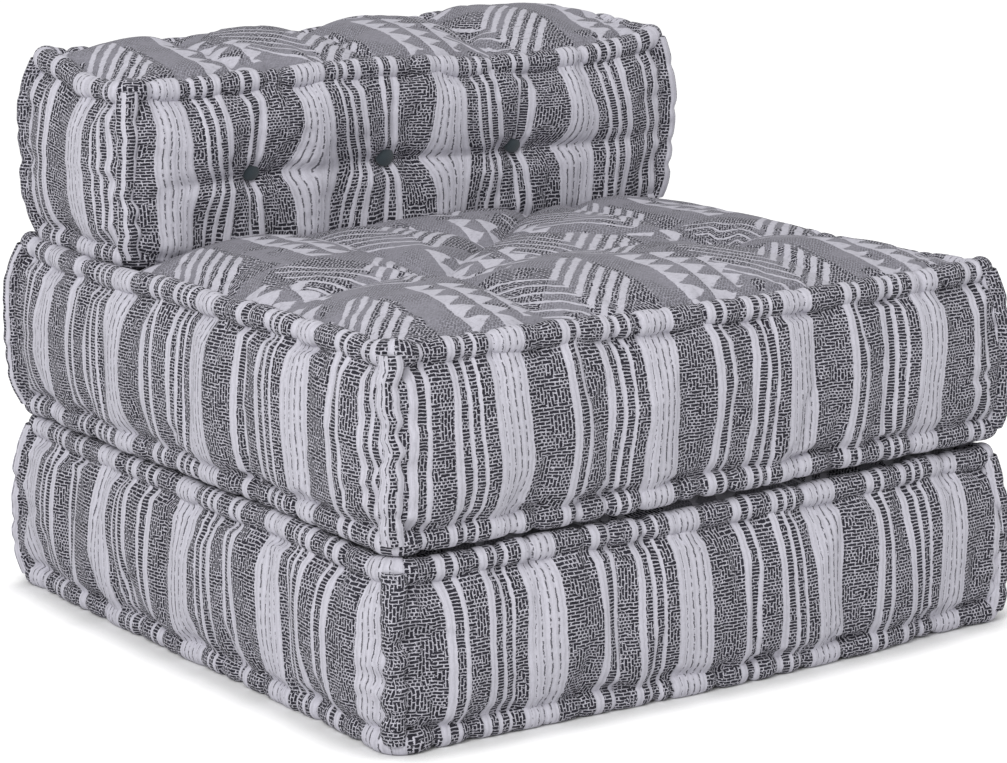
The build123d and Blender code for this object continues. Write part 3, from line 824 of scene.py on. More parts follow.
# Pieces
def build_sides(cushion):
    """The four side cloths of one cushion."""
    rows = spaced(1.0, 0.016, 0.024, 0.22)
    tall = cushion.tall
    for side in SIDES:
        length = cushion.length(side)
        columns = spaced(length, 2.6 * MM, 3.2 * MM, 0.05)
        rise, along = np.meshgrid(rows, columns, indexing="ij")
        points = side_point(cushion, side, along, rise)
        across = stripe_place(cushion, side, points[..., 0], points[..., 1])
        tufted = cushion.name == "back" and side in ("front", "rear")
        count = (round(tall / SOLVER_GRID), round(length / SOLVER_GRID))
        coarse_rise, coarse_along = np.meshgrid(
            np.linspace(0, 1, count[0]), np.linspace(0, length, count[1]), indexing="ij"
        )
        held = border(*count)
        if tufted:
            buttons, level = button_places(cushion, side)
            for button in buttons:
                held |= np.hypot(coarse_along - button, (coarse_rise - level) * tall) < BUTTON_HOLD
        move = settled(side_point(cushion, side, coarse_along, coarse_rise), held, SIDE_MOVE_LIMIT)
        points = points + carried(move, rows, columns / length)
        points[..., 2] = np.maximum(points[..., 2], cushion.underside + 1.0 * MM)
        sway = 2.2 * MM * dune(along, rise * tall, 0.13, cushion.seed * 5 + SIDES.index(side))
        if tufted:
            for button in buttons:
                gap = along - button
                near_level = np.exp(-np.abs(rise - level) * tall / (24 * MM))
                draw_in = 0.75 * near_level * np.exp(-((gap / (62 * MM)) ** 2))
                sense = STRIPE_STARTS[(cushion.name, side)][1] * (1 if side == "front" else -1)
                sway = sway + sense * gap * draw_in
        uv = np.stack([across + sway, rise * tall * 1.1], -1)
        name = f"{cushion.name}_{side}_cover"
        piece = cloth_shell(
            name, points, uv, BODIES[cushion.name], material("striped_cloth"),
            [f"{cushion.name}_{side}_panel"],
        )
        length + LENGTH_ALLOWANCE
        tall + HEIGHT_ALLOWANCE


def build_plan_cloth(cushion, which, spacing):
    """The top or bottom cloth of one cushion."""
    fine, coarse = spacing
    x = cushion.low[0] + spaced(cushion.size[0], fine, coarse, 0.045)
    y = cushion.low[1] + spaced(cushion.size[1], fine, coarse, 0.045)
    grid_y, grid_x = np.meshgrid(y, x, indexing="ij")
    if which == "top":
        points = top_point(cushion, grid_x, grid_y)
        finish = slot = "patterned_cloth"
        if cushion.name != "base":
            points = points + top_move(cushion, x, y)
            height = points[..., 2] - cushion.levels["top"]
            points[..., 2] = cushion.levels["top"] + pressed(cushion, points[..., 0], points[..., 1], height)
    else:
        points = bottom_point(cushion, grid_x, grid_y)[::-1]
        finish, slot = "underside_cloth", "plain_underside_cloth"
    flat_x, flat_y = points[..., 0] - cushion.low[0], points[..., 1] - cushion.low[1]
    if which == "top" and cushion.name != "back":
        for x0, y0 in tuft_places(cushion):
            gap_x, gap_y = points[..., 0] - x0, points[..., 1] - y0
            draw_in = 0.5 * np.exp(-np.hypot(gap_x, gap_y) / (45 * MM))
            flat_x, flat_y = flat_x + gap_x * draw_in, flat_y + gap_y * draw_in
    uv = np.stack([flat_x, flat_y], -1)
    piece = cloth_shell(
        f"{cushion.name}_{which}_cover", points, uv, BODIES[cushion.name], material(finish),
        [f"{cushion.name}_{which}_panel"],
    )


def top_move(cushion, x, y):
    """How the cloth solver moves a top cloth, held at its seams and tufts."""
    count = [round(size / SOLVER_GRID) for size in cushion.size]
    coarse_y, coarse_x = np.meshgrid(
        np.linspace(cushion.low[1], cushion.high[1], count[1]),
        np.linspace(cushion.low[0], cushion.high[0], count[0]),
        indexing="ij",
    )
    held = border(count[1], count[0])
    if cushion.name != "back":
        for x0, y0 in tuft_places(cushion):
            held |= np.hypot(coarse_x - x0, coarse_y - y0) < TUFT_HOLD
    move = settled(top_point(cushion, coarse_x, coarse_y), held, TOP_MOVE_LIMIT)
    return carried(move, (y - cushion.low[1]) / cushion.size[1], (x - cushion.low[0]) / cushion.size[0])


def build_edge_roll(cushion, seam):
    """A stuffed roll round a seam: a circle carried along the real seam line, drawn thin at each
    gather, puffed between two, and rubbed flat where it lies on something."""
    form = shape()
    girth = cushion.girth()
    walked = np.linspace(0, girth, round(girth / ROLL_STEP), endpoint=False)
    points, out = cushion.seam_line(seam, walked)
    bells = gathered(walked, cushion.gathers(seam), girth)
    wide = gathered(walked, cushion.gathers(seam), girth, 3.0)
    turns = np.linspace(0, 2 * pi, ROLL_FACETS, endpoint=False)
    radius = cushion.radius * (1.05 - bells - 0.25 * wide)
    sag = ripples(90, cushion.seed + (31 if seam == "top" else 37), 0.3)(walked / girth)
    radius = radius[:, None] * (1 + 0.018 * sag[:, None] * np.cos(2 * turns + 40 * walked[:, None]))
    points = points - out * (5 * MM * bells)[:, None]
    swing = out[:, None, :] * np.cos(turns)[None, :, None]
    ring = points[:, None, :] + radius[..., None] * swing
    ring[..., 2] += radius * np.sin(turns)
    ring[..., 2] = np.maximum(ring[..., 2], cushion.underside + 0.3 * MM)
    faces = grid_faces(len(walked), len(turns), True, True)[:, ::-1]
    uv = np.zeros((len(walked), len(turns), 4, 2))
    starts = np.array([cushion.start(side) - form.roll_corner * pi / 4 for side in SIDES])
    step = walked[1]
    owner = (np.searchsorted(starts, walked + step / 2, side="right") - 1) % 4
    for i, side in enumerate(SIDES):
        here = owner == i
        uv[here, :, :2, 0] = roll_place(cushion, side, walked[here])[:, None, None]
        uv[here, :, 2:, 0] = roll_place(cushion, side, walked[here] + step)[:, None, None]
    down = np.append(turns, 2 * pi) * cushion.radius
    for place, level in enumerate((down[:-1], down[1:], down[1:], down[:-1])):
        uv[:, :, place, 1] = level
    piece = make_piece(
        f"{cushion.name}_{seam}_edge_roll_cloth", ring, faces, uv[:, :, ::-1], BODIES[cushion.name],
        material("striped_cloth"), [f"{cushion.name}_{seam}_edge_roll"],
    )


def build_corner_rolls(cushion):
    """Four rolls from the bottom ring to the top ring, bowed outwards by an arc and drawn in
    between their swells; all in one piece."""
    form = shape()
    rise = np.linspace(0, 1, 64)
    turns = np.linspace(0, 2 * pi, ROLL_FACETS, endpoint=False)
    rings, places, faces = [], [], []
    for number, side in enumerate(SIDES):
        walked = np.array([cushion.start(side) - form.roll_corner * pi / 4])
        low, out = cushion.seam_line("bottom", walked)
        high, _ = cushion.seam_line("top", walked)
        draw = np.random.default_rng(cushion.seed * 17 + number)
        necks = (np.arange(1, 5) / 5) + draw.uniform(-0.05, 0.05, 4)
        depths = draw.uniform(0.08, 0.3, 4)
        bells = (depths * np.exp(-((np.subtract.outer(rise, necks) / 0.032) ** 2))).sum(-1)
        radius = form.corner_radius * (1.04 - bells + 0.06 * np.sin(9 * rise + number))
        bow = corner_bow(cushion, number, rise) + 5 * MM
        sway = 2.4 * MM * ripples(7, cushion.seed * 19 + number, 0.3)(rise) * (1 - np.abs(2 * rise - 1) ** 4)
        side_way = np.array([-out[0][1], out[0][0], 0.0])
        line = low + (high - low) * rise[:, None] + out * bow[:, None] + side_way * sway[:, None]
        swing = out[0][None, :] * np.cos(turns)[:, None] + side_way[None, :] * np.sin(turns)[:, None]
        ring = line[:, None, :] + radius[:, None, None] * swing[None]
        faces.append(grid_faces(len(rise), len(turns), False, True) + number * len(rise) * len(turns))
        rings.append(ring.reshape(-1, 3))
        start = 0.02 + 0.031 * ((number * 3 + cushion.seed) % 5)
        u = start + np.arange(len(turns) + 1) / len(turns) * 2 * pi * form.corner_radius
        v = rise * (high[0][2] - low[0][2])
        corner = np.zeros((len(rise) - 1, len(turns), 4, 2))
        ends = ((u[:-1], v[:-1]), (u[1:], v[:-1]), (u[1:], v[1:]), (u[:-1], v[1:]))
        for place, (turned, risen) in enumerate(ends):
            corner[:, :, place, 0] = turned[None, :]
            corner[:, :, place, 1] = risen[:, None]
        places.append(corner.reshape(-1, 2))
    piece = make_piece(
        f"{cushion.name}_corner_roll_cloth", np.concatenate(rings), np.concatenate(faces),
        np.concatenate(places), BODIES[cushion.name], material("striped_cloth"),
        [f"{cushion.name}_corner_rolls"],
    )


def build_wadding(cushion):
    """The stuffed form inside the covers: rings round the plan, shrunk to a pole in the middle
    of the bottom and of the top, and carried up the sides between them."""
    inset = 6 * MM
    walked = np.linspace(0, cushion.girth(), 200, endpoint=False)
    line, out = cushion.seam_line("top", walked)
    flat = line[:, :2] - out[:, :2] * (cushion.radius + inset)
    shrink = 1 - np.linspace(0.02, 1, 22) ** 1.4
    rings = []
    for share in shrink[::-1]:
        x, y = (cushion.centre[:, None] + (flat - cushion.centre).T * share)
        rings.append(bottom_point(cushion, x, y, inset))
    low, high = cushion.levels["bottom"] + inset, cushion.levels["top"] - inset
    for share in np.linspace(0.06, 0.94, 9):
        swell = 0.6 * shape().end_swell * arc_crown(2 * share - 1)
        level = np.full(len(flat), low + share * (high - low))
        rings.append(np.column_stack([flat + out[:, :2] * swell, level]))
    for share in shrink:
        x, y = (cushion.centre[:, None] + (flat - cushion.centre).T * share)
        rings.append(top_point(cushion, x, y, inset))
    grid = np.stack(rings)
    faces = grid_faces(len(grid), len(walked), False, True)
    points = grid.reshape(-1, 3)
    uv = points[faces][..., :2]
    piece = make_piece(
        f"{cushion.name}_wadding", points, faces, uv, BODIES[cushion.name], material("wadding"),
        [f"{cushion.name}_wadding_core"],
    )


# Materials
class Field:
    """A number that is worked out at each shaded point, with the usual arithmetic."""

    def __init__(self, tree, socket):
        self.tree = tree
        self.socket = socket

    def made_by(self, operation, *others):
        """The result of one Math node on this number and others."""
        node = self.tree.nodes.new("ShaderNodeMath")
        node.operation = operation
        for place, value in zip(node.inputs, (self, *others)):
            feed(self.tree, place, value)
        return Field(self.tree, node.outputs[0])

    def __add__(self, other):
        return self.made_by("ADD", other)

    def __sub__(self, other):
        return self.made_by("SUBTRACT", other)

    def __mul__(self, other):
        return self.made_by("MULTIPLY", other)

    def __truediv__(self, other):
        return self.made_by("DIVIDE", other)

    def __lt__(self, other):
        return self.made_by("LESS_THAN", other)

    def __gt__(self, other):
        return self.made_by("GREATER_THAN", other)

    def fract(self):
        """What is left over a whole number."""
        return self.made_by("FRACT")

    def floor(self):
        """The whole number below."""
        return self.made_by("FLOOR")

    def absolute(self):
        """The number without its sign."""
        return self.made_by("ABSOLUTE")

    def larger(self, other):
        """The larger of two numbers."""
        return self.made_by("MAXIMUM", other)

    def smaller(self, other):
        """The smaller of two numbers."""
        return self.made_by("MINIMUM", other)

    def step(self, low, high):
        """0 below low, 1 over high and a smooth step between."""
        node = self.tree.nodes.new("ShaderNodeMapRange")
        node.interpolation_type = "SMOOTHSTEP"
        for place, value in zip(node.inputs, (self, low, high, 0.0, 1.0)):
            feed(self.tree, place, value)
        return Field(self.tree, node.outputs[0])


def feed(tree, place, value):
    """Links a field to a socket, or sets the socket to a plain value."""
    if isinstance(value, Field):
        tree.links.new(value.socket, place)
    else:
        place.default_value = value


class Weave:
    """A material under construction, with the pattern's two places as fields in millimetres."""

    def __init__(self, name):
        self.material = bpy.data.materials.new(name)
        self.material.use_nodes = True
        self.tree = self.material.node_tree
        self.shader = self.tree.nodes["Principled BSDF"]
        place = self.tree.nodes.new("ShaderNodeUVMap")
        place.uv_map = "cloth"
        split = self.tree.nodes.new("ShaderNodeSeparateXYZ")
        self.tree.links.new(place.outputs["UV"], split.inputs[0])
        self.across = Field(self.tree, split.outputs["X"]) * 1000
        self.along = Field(self.tree, split.outputs["Y"]) * 1000

    def place(self, x, y):
        """A place in the plane from two fields."""
        node = self.tree.nodes.new("ShaderNodeCombineXYZ")
        feed(self.tree, node.inputs["X"], x)
        feed(self.tree, node.inputs["Y"], y)
        return Field(self.tree, node.outputs[0])

    def noise(self, x, y, detail=2.0, seed=0.0):
        """Smooth noise from 0 to 1, one blob to a unit."""
        node = self.tree.nodes.new("ShaderNodeTexNoise")
        node.noise_dimensions = "3D"
        feed(self.tree, node.inputs["Vector"], self.place(x, y + seed))
        node.inputs["Scale"].default_value = 1.0
        node.inputs["Detail"].default_value = detail
        return Field(self.tree, node.outputs["Fac"])

    def cells(self, x, y):
        """A random number for each squarish cell of about one unit."""
        node = self.tree.nodes.new("ShaderNodeTexVoronoi")
        node.voronoi_dimensions = "2D"
        node.distance = "CHEBYCHEV"
        feed(self.tree, node.inputs["Vector"], self.place(x, y))
        node.inputs["Scale"].default_value = 1.0
        node.inputs["Randomness"].default_value = 0.8
        split = self.tree.nodes.new("ShaderNodeSeparateColor")
        self.tree.links.new(node.outputs["Color"], split.inputs[0])
        return Field(self.tree, split.outputs[0])

    def dashes(self, x, y, length, pitch, gap):
        """1 in the gaps of a running bond of dashes along x, and 0 on the dashes. It is drawn
        small, because the texture limits the size of a gap."""
        small = 0.05
        node = self.tree.nodes.new("ShaderNodeTexBrick")
        node.offset = 0.5
        feed(self.tree, node.inputs["Vector"], self.place(x * small, y * small))
        node.inputs["Scale"].default_value = 1.0
        node.inputs["Mortar Size"].default_value = gap * small
        node.inputs["Mortar Smooth"].default_value = 0.35
        node.inputs["Brick Width"].default_value = length * small
        node.inputs["Row Height"].default_value = pitch * small
        return Field(self.tree, node.outputs["Fac"])

    def bands(self, place, edges):
        """1 between each pair of edges and 0 elsewhere, over a place from 0 to 1."""
        node = self.tree.nodes.new("ShaderNodeValToRGB")
        ramp = node.color_ramp
        ramp.interpolation = "CONSTANT"
        ramp.elements[0].position = 0.0
        ramp.elements[0].color = (0, 0, 0, 1)
        ramp.elements.remove(ramp.elements[1])
        for start, end in edges:
            for position, value in ((start, 1.0), (end, 0.0)):
                ramp.elements.new(position).color = (value, value, value, 1)
        feed(self.tree, node.inputs["Fac"], place)
        return Field(self.tree, node.outputs["Color"])

    def mixed(self, share, first, second):
        """A number that goes from first to second with the share."""
        node = self.tree.nodes.new("ShaderNodeMix")
        feed(self.tree, node.inputs[0], share)
        feed(self.tree, node.inputs[2], first)
        feed(self.tree, node.inputs[3], second)
        return Field(self.tree, node.outputs[0])

    def blended(self, share, first, second):
        """A colour that goes from first to second with the share."""
        node = self.tree.nodes.new("ShaderNodeMix")
        node.data_type = "RGBA"
        feed(self.tree, node.inputs[0], share)
        for place, value in ((node.inputs[6], first), (node.inputs[7], second)):
            feed(self.tree, place, value if isinstance(value, Field) else (*value, 1.0))
        return Field(self.tree, node.outputs[2])

    def shades(self, share, colour, low, high):
        """A plain colour made darker to lighter, by two factors, with the share."""
        return self.blended(share, tuple(c * low for c in colour), tuple(c * high for c in colour))

    def finish(self, colour, height, depth, roughness=0.95, sheen=0.04):
        """Joins the colour and the height to the shader, and sets its plain values."""
        feed(self.tree, self.shader.inputs["Base Color"], colour)
        self.shader.inputs["Roughness"].default_value = roughness
        self.shader.inputs["Sheen Weight"].default_value = sheen
        self.shader.inputs["Sheen Roughness"].default_value = 0.5
        self.shader.inputs["Specular IOR Level"].default_value = 0.12
        bump = self.tree.nodes.new("ShaderNodeBump")
        bump.inputs["Distance"].default_value = depth
        bump.inputs["Strength"].default_value = 0.8
        feed(self.tree, bump.inputs["Height"], height)
        self.tree.links.new(bump.outputs["Normal"], self.shader.inputs["Normal"])
        return self.material


def yarn_grain(weave, x, y):
    """The fine plain weave: short slubs along both yarns, as a number about 0.5."""
    warp = weave.noise(x / 0.9, y / 3.4)
    weft = weave.noise(x / 3.0, y / 0.8, seed=31.0)
    return (warp + weft) * 0.5


# Bands of one repeat of the stripes, from start to end
BLOCK_BANDS_MM = ((35, 75), (97, 119), (149, 162))
LADDER_BANDS_MM = ((84, 92), (127, 134), (138, 145))
THIN_LINES_MM = ((6.6, 7.5), (12.9, 14.1), (19.8, 21.0), (26.8, 27.9))


def striped_cloth():
    """Striped cotton. Wide dark bands are woven in blocks of level, upright or square dashes
    parted by pale yarn, narrow ones as broken ladders of level dashes, and the widest pale
    band has broken dark lines. Each row of the weave ends a little aside of the next."""
    weave = Weave("striped_cotton")
    repeat, pitch = cloths().stripe_repeat * 1000, cloths().dash * 1000
    warp_x = (weave.noise(weave.across / 6, weave.along / 6) - 0.5) * 1.9
    warp_y = (weave.noise(weave.across / 8, weave.along / 8, seed=5.0) - 0.5) * 2.8
    shake = (weave.noise(weave.across / 1.6, weave.along / 1.6, seed=9.0) - 0.5) * 1.3
    x, y = weave.across + warp_x + shake, weave.along + warp_y - shake
    ragged = (weave.noise(x / 45, (y / pitch).floor() * 3.7, seed=13.0) - 0.5) * 1.9
    place = ((x + ragged) / repeat).fract()
    shares = [[(start / repeat, end / repeat) for start, end in row] for row in (
        BLOCK_BANDS_MM, LADDER_BANDS_MM, THIN_LINES_MM)]
    blocks, ladders, thin = (weave.bands(place, row) for row in shares)
    level = weave.dashes(x, y, 2.9 * pitch, pitch, 0.175 * pitch)
    upright = weave.dashes(y, x, 2.3 * pitch, pitch, 0.165 * pitch)
    square = weave.dashes(x, y, 1.15 * pitch, pitch, 0.165 * pitch)
    rungs = weave.dashes(x, y, 13 * pitch, pitch, 0.175 * pitch)
    block = weave.cells(x / 11, y / 9)
    hatch = weave.mixed(block > 0.4, level, weave.mixed(block > 0.72, upright, square))
    steps = weave.mixed(weave.cells(x / 14, y / 13) > 0.55, rungs, hatch)
    thread = weave.noise(x / 4.5, y / 2.4, seed=27.0).step(0.28, 0.58) * 0.45 + 0.55
    broken = weave.noise(x / 5, y / 5, seed=17.0).step(0.4, 0.5)
    ink = blocks * (hatch * thread * -1.0 + 1.0)
    ink = ink.larger(ladders * (steps * thread * -0.95 + 1.0)).larger(thin * broken * 0.75)
    grain = yarn_grain(weave, weave.across, weave.along)
    streak = weave.noise(weave.across / 0.8, weave.along / 9, seed=41.0)
    fade = weave.noise(weave.across / 26, weave.along / 26, seed=3.0)
    ink = (ink * (grain * 0.7 + 0.75)).smaller(1.0)
    # Painted shade of the round cords: the pale yarn's colour is darker towards each cord's edges, which the
    # bump below also lowers
    cord = ((place * (repeat / 5.4)).fract() * 2 - 1).absolute()
    light = grain * 0.45 + streak * 0.45 - cord * cord * 0.16 + 0.12
    pale = weave.shades(light, cloths().pale, 0.5, 1.42)
    colour = weave.blended(ink, pale, weave.shades(fade, cloths().dark, 0.6, 1.8))
    return weave.finish(colour, grain * 0.6 + streak * 0.3 - cord * cord * 0.5 - ink * 0.35, 0.6 * MM)


def sawteeth(u, v, start, pitch, size):
    """A column of saw teeth that point along u from start: a bent edge over a straight one."""
    reach = (((v / pitch).fract() * 2 - 1).absolute() * -1 + 1) * size + 3.5
    return (u > start) * (u - start < reach)


def patterned_cloth():
    """Flat-weave pattern in rows, each shifted by half a repeat. A repeat has three columns of
    saw teeth and a nest of chevrons, with thin left arms and thick right ones, on a streaky
    ground with patches of dark cloth under pale slanting threads."""
    weave = Weave("patterned_cotton")
    wide, tall = 238.0, 146.0
    repeat_start, row_lead = 92.0, 10.0
    fuzz = (weave.noise(weave.across / 1.3, weave.along / 1.3, seed=33.0) - 0.5) * 3.0
    x = weave.across + (weave.noise(weave.across / 9, weave.along / 9) - 0.5) * 4.0 + fuzz
    y = weave.along + (weave.noise(weave.across / 9, weave.along / 9, seed=7.0) - 0.5) * 4.0 - fuzz
    row = ((y + row_lead) / tall).floor()
    v = ((y + row_lead) / tall).fract() * tall
    u = ((x + row * 0.5 * wide - repeat_start) / wide).fract() * wide
    first = sawteeth(u, v, 4.0, 23.0, 21.0) * (v > 8.0) * (v < 138.0)
    second = sawteeth(u, v + 9.0, 34.0, 23.0, 21.0) * (v > 16.0) * (v < 128.0)
    third = sawteeth(u, v + 3.0, 64.0, 21.0, 15.0) * (v > 34.0) * (v < 96.0)
    teeth = first.larger(second).larger(third)
    arm = u - 140.0
    right, left = arm.larger(0.0), (arm * -1).larger(0.0)
    nest = v + 4.0 - right * 1.05 - left
    turn = (nest / 18.0).fract()
    bars = (turn < 0.5) * (arm > -1.0) * (arm < 64.0)
    lines = (turn < 0.22) * (arm < 0.5) * (arm > -66.0)
    chevrons = bars.larger(lines) * (nest > -2.0) * (nest < 100.0)
    wear = weave.noise(x / 7, y / 3, detail=3.0, seed=51.0)
    motif = teeth.larger(chevrons) * (wear.step(0.2, 0.5) * 0.5 + 0.5)
    lean_x, lean_y = (x + y) * 0.7071, (y - x) * 0.7071
    slant = weave.dashes(lean_x, lean_y, 7.5, 2.9, 0.5)
    cross = weave.dashes(lean_y, lean_x, 6.5, 2.9, 0.5)
    hatch = weave.mixed(weave.cells(x / 22, y / 22) > 0.6, slant, cross)
    mottle = weave.noise(x / 34, y / 34, detail=3.0, seed=21.0)
    patch = (arm > -6.0) * (arm < 70.0) * (nest < 56.0) * (v > 6.0)
    patch = patch.larger((u - 100.0).absolute() / 60 + (v - 114.0).absolute() / 56 < 1.0)
    patch = patch.larger(mottle > 0.62)
    grain = yarn_grain(weave, weave.across, weave.along)
    streak = weave.noise(x / 6, y / 1.5, detail=3.0, seed=61.0)
    fine = weave.dashes(lean_x, lean_y, 5.2, 2.6, 0.42)
    shade = weave.noise(x / 40, y / 40, seed=71.0).step(0.4, 0.55) * 0.5 + 0.12
    light = grain * 0.4 + streak * 0.6 - (fine * -1.6 + 0.9) * shade * 0.5
    ground = weave.shades(light, cloths().middle, 0.35, 1.85)
    thread = weave.noise(x / 4, y / 4, seed=27.0).step(0.3, 0.6) * 0.5 + 0.5
    pale = weave.shades(grain * 0.6 + streak * 0.4, cloths().pale, 0.6, 1.3)
    dark = weave.blended(hatch * thread, tuple(c * 1.3 for c in cloths().dark), pale)
    colour = weave.blended(motif, weave.blended(patch, ground, dark), pale)
    return weave.finish(colour, grain * 0.7 + streak * 0.3 + motif * 0.4, 0.6 * MM)


def underside_cloth():
    """Plain middle grey cotton under each cushion."""
    weave = Weave("underside_cloth")
    grain = yarn_grain(weave, weave.across, weave.along)
    middle = cloths().middle
    colour = weave.blended(grain, tuple(c * 0.6 for c in middle), tuple(c * 1.1 for c in middle))
    return weave.finish(colour, grain, 0.4 * MM)


def wadding():
    """Raw cotton wadding."""
    weave = Weave("wadding")
    fluff = weave.noise(weave.across / 9, weave.along / 9, detail=6.0)
    colour = weave.blended(fluff, (0.66, 0.62, 0.53), (0.84, 0.81, 0.74))
    return weave.finish(colour, fluff, 2 * MM)


def object_weave(name, colour, scale, depth):
    """A small plain cloth or cord on Object coordinates: noise at the yarn's size."""
    made_material = bpy.data.materials.new(name)
    made_material.use_nodes = True
    tree = made_material.node_tree
    shader = tree.nodes["Principled BSDF"]
    place = tree.nodes.new("ShaderNodeTexCoord")
    grain = tree.nodes.new("ShaderNodeTexNoise")
    grain.inputs["Scale"].default_value = scale
    grain.inputs["Detail"].default_value = 4.0
    tree.links.new(place.outputs["Object"], grain.inputs["Vector"])
    ramp = tree.nodes.new("ShaderNodeValToRGB")
    ramp.color_ramp.elements[0].color = (*(c * 0.55 for c in colour), 1)
    ramp.color_ramp.elements[1].color = (*(c * 1.5 for c in colour), 1)
    tree.links.new(grain.outputs["Fac"], ramp.inputs["Fac"])
    tree.links.new(ramp.outputs["Color"], shader.inputs["Base Color"])
    bump = tree.nodes.new("ShaderNodeBump")
    bump.inputs["Distance"].default_value = depth
    tree.links.new(grain.outputs["Fac"], bump.inputs["Height"])
    tree.links.new(bump.outputs["Normal"], shader.inputs["Normal"])
    shader.inputs["Roughness"].default_value = 0.85
    shader.inputs["Sheen Weight"].default_value = 0.3
    return made_material


def button_cloth():
    """Dark slate wool over the buttons."""
    return object_weave("button_cloth", tuple(cloths().button), 1400.0, 0.3 * MM)


def twine():
    """Waxed cotton twine."""
    return object_weave("twine", (0.3, 0.29, 0.3), 900.0, 0.2 * MM)


MAKERS = {
    "striped_cloth": striped_cloth,
    "patterned_cloth": patterned_cloth,
    "underside_cloth": underside_cloth,
    "wadding": wadding,
    "button_cloth": button_cloth,
    "twine": twine,
}
finished = {}


def material(name):
    """The named finish, made once."""
    if name not in finished:
        finished[name] = MAKERS[name]()
    return finished[name]


# The three cushions, each with the seed of its random draws
made = {name: Cushion(name, seed) for name, seed in (("base", 11), ("seat", 23), ("back", 37))}


# Operators
class SOFA_OT_wadding(bpy.types.Operator):
    """Builds the stuffed form of each cushion"""

    bl_idname = "sofa.wadding"
    bl_label = "Wadding"

    def execute(self, context):
        for cushion in made.values():
            build_wadding(cushion)
        return {"FINISHED"}


class SOFA_OT_side_cloths(bpy.types.Operator):
    """Builds the striped cloths of the sides"""

    bl_idname = "sofa.side_cloths"
    bl_label = "Side Cloths"

    def execute(self, context):
        for cushion in made.values():
            build_sides(cushion)
        return {"FINISHED"}


class SOFA_OT_plan_cloths(bpy.types.Operator):
    """Builds the patterned tops and the plain undersides"""

    bl_idname = "sofa.plan_cloths"
    bl_label = "Top and Bottom Cloths"

    def execute(self, context):
        for cushion in made.values():
            fine = (5 * MM, 6 * MM) if cushion.name == "base" else (2.6 * MM, 3.9 * MM)
            build_plan_cloth(cushion, "top", fine)
            build_plan_cloth(cushion, "bottom", (6 * MM, 9 * MM))
        return {"FINISHED"}


class SOFA_OT_rolls(bpy.types.Operator):
    """Builds the gathered rolls round the seams and up the corners"""

    bl_idname = "sofa.rolls"
    bl_label = "Rolls"

    def execute(self, context):
        for cushion in made.values():
            build_edge_roll(cushion, "bottom")
            build_edge_roll(cushion, "top")
            build_corner_rolls(cushion)
        return {"FINISHED"}


class SOFA_OT_tufts(bpy.types.Operator):
    """Finishes the buttons and the tufting twine, whose shapes come with the frame"""

    bl_idname = "sofa.tufts"
    bl_label = "Tufts"

    def execute(self, context):
        for node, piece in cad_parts.items():
            finish = "button_cloth" if "button" in node else "twine" if "twine" in node else None
            if finish:
                piece.data.materials.clear()
                piece.data.materials.append(material(finish))
        return {"FINISHED"}


class SOFA_OT_stage(bpy.types.Operator):
    """Builds the floor, the even light, the lamps and the camera"""

    bl_idname = "sofa.stage"
    bl_label = "Stage"

    def execute(self, context):
        stage = context.scene.sofa_stage
        build_floor()
        build_world(stage.world)
        build_lamp("key_lamp", *KEY_LAMP, stage.key)
        build_lamp("fill_lamp", *FILL_LAMP, stage.key * FILL_SHARE)
        build_camera(stage)
        return {"FINISHED"}


def build_floor():
    """A wide pale floor. Seen by the camera it adds a glow of its own where nothing stands
    near, so that it looks white; close to the sofa the glow is withheld, a painted contact shadow
    over the real one at the sofa's foot."""
    half = 30.0
    mesh = bpy.data.meshes.new("floor")
    corners = [(-half, -half, 0), (half, -half, 0), (half, half, 0), (-half, half, 0)]
    mesh.from_pydata(corners, [], [(0, 1, 2, 3)])
    floor = bpy.data.objects.new("floor", mesh)
    bpy.context.scene.collection.objects.link(floor)
    paint = bpy.data.materials.new("pale_floor")
    paint.use_nodes = True
    tree = paint.node_tree
    shader = tree.nodes["Principled BSDF"]
    shader.inputs["Base Color"].default_value = (0.8, 0.8, 0.8, 1)
    shader.inputs["Roughness"].default_value = 1.0
    shader.inputs["Specular IOR Level"].default_value = 0.0
    shader.inputs["Emission Color"].default_value = (1, 1, 1, 1)
    path = tree.nodes.new("ShaderNodeLightPath")
    painted_shadow_occlusion = tree.nodes.new("ShaderNodeAmbientOcclusion")
    painted_shadow_occlusion.samples = 8
    painted_shadow_occlusion.inputs["Distance"].default_value = SHADOW_REACH
    # Painted contact shadow: the floor's glow fades out where the occlusion test finds the sofa within the
    # shadow's reach
    free = Field(tree, painted_shadow_occlusion.outputs["AO"]).step(0.5, 0.92)
    feed(tree, shader.inputs["Emission Strength"], looked_at(tree, path) * free * FLOOR_GLOW)
    mesh.materials.append(paint)


def looked_at(tree, path):
    """1 where the camera looks, straight or by way of a shine or a clear body."""
    camera, shine, clear = (
        Field(tree, path.outputs[f"Is {kind} Ray"]) for kind in ("Camera", "Glossy", "Transmission")
    )
    return camera.larger(shine).larger(clear)


def build_world(strength):
    """An even pale light from all round, which the camera sees as white."""
    world = bpy.data.worlds.new("even_light")
    bpy.context.scene.world = world
    world.use_nodes = True
    tree = world.node_tree
    background = tree.nodes["Background"]
    background.inputs["Color"].default_value = (1, 1, 1, 1)
    path = tree.nodes.new("ShaderNodeLightPath")
    level = looked_at(tree, path) * (1 - strength) + strength
    feed(tree, background.inputs["Strength"], level)


def build_lamp(name, place, size, power):
    """A large square lamp that looks at the middle of the sofa."""
    light = bpy.data.lights.new(name, "AREA")
    light.size = size
    light.energy = power
    lamp = bpy.data.objects.new(name, light)
    bpy.context.scene.collection.objects.link(lamp)
    lamp.location = place
    aim = Vector((0, 0, 0.25)) - Vector(place)
    lamp.rotation_euler = aim.to_track_quat("-Z", "Y").to_euler()


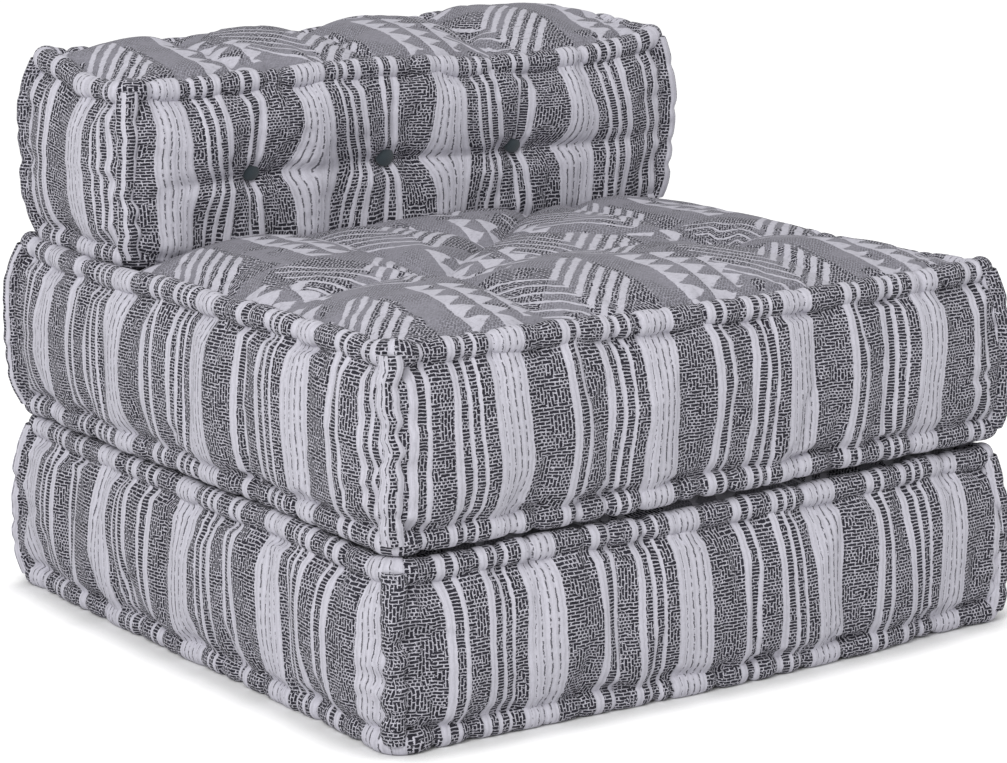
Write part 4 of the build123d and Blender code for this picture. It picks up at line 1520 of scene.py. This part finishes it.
def build_camera(stage):
    """The camera on its sphere round the aim point, turned by the roll."""
    a, e = stage.azimuth, stage.elevation
    back = Vector((sin(a) * cos(e), -cos(a) * cos(e), sin(e)))
    right = Vector((cos(a), sin(a), 0))
    up = back.cross(right)
    right, up = cos(stage.roll) * right + sin(stage.roll) * up, cos(stage.roll) * up - sin(stage.roll) * right
    data = bpy.data.cameras.new("camera")
    data.lens = stage.lens
    data.sensor_width = 36.0
    data.clip_end = 200.0
    camera = bpy.data.objects.new("camera", data)
    bpy.context.scene.collection.objects.link(camera)
    turn = Matrix((right, up, back)).transposed().to_4x4()
    camera.matrix_world = Matrix.Translation(Vector(stage.aim) + back * stage.distance) @ turn
    bpy.context.scene.camera = camera
    bpy.context.scene.view_settings.view_transform = "Standard"


class SOFA_PT_sidebar(bpy.types.Panel):
    """Lists the settings and the builders"""

    bl_idname = "SOFA_PT_sidebar"
    bl_label = "Mattress Sofa"
    bl_space_type = "VIEW_3D"
    bl_region_type = "UI"
    bl_category = "Sofa"

    def draw(self, context):
        for group in (context.scene.sofa_shape, context.scene.sofa_cloth, context.scene.sofa_stage):
            box = self.layout.box()
            for name in group.__annotations__:
                box.prop(group, name)
        for operator in OPERATORS:
            self.layout.operator(operator.bl_idname)


GROUPS = {"sofa_shape": SofaShape, "sofa_cloth": SofaCloth, "sofa_stage": SofaStage}
OPERATORS = (
    SOFA_OT_wadding,
    SOFA_OT_side_cloths,
    SOFA_OT_plan_cloths,
    SOFA_OT_rolls,
    SOFA_OT_tufts,
    SOFA_OT_stage,
)


def register():
    """Registers the settings, the builders and the sidebar panel."""
    for name, group in GROUPS.items():
        bpy.utils.register_class(group)
        setattr(bpy.types.Scene, name, bpy.props.PointerProperty(type=group))
    for kind in (*OPERATORS, SOFA_PT_sidebar):
        bpy.utils.register_class(kind)


def unregister():
    """Takes back what register did."""
    for kind in (SOFA_PT_sidebar, *reversed(OPERATORS)):
        bpy.utils.unregister_class(kind)
    for name, group in GROUPS.items():
        delattr(bpy.types.Scene, name)
        bpy.utils.unregister_class(group)


def main():
    """Builds the whole scene."""
    register()
    bpy.ops.sofa.wadding()
    bpy.ops.sofa.side_cloths()
    bpy.ops.sofa.plan_cloths()
    bpy.ops.sofa.rolls()
    bpy.ops.sofa.tufts()
    bpy.ops.sofa.stage()


if __name__ == "__main__":
    main()
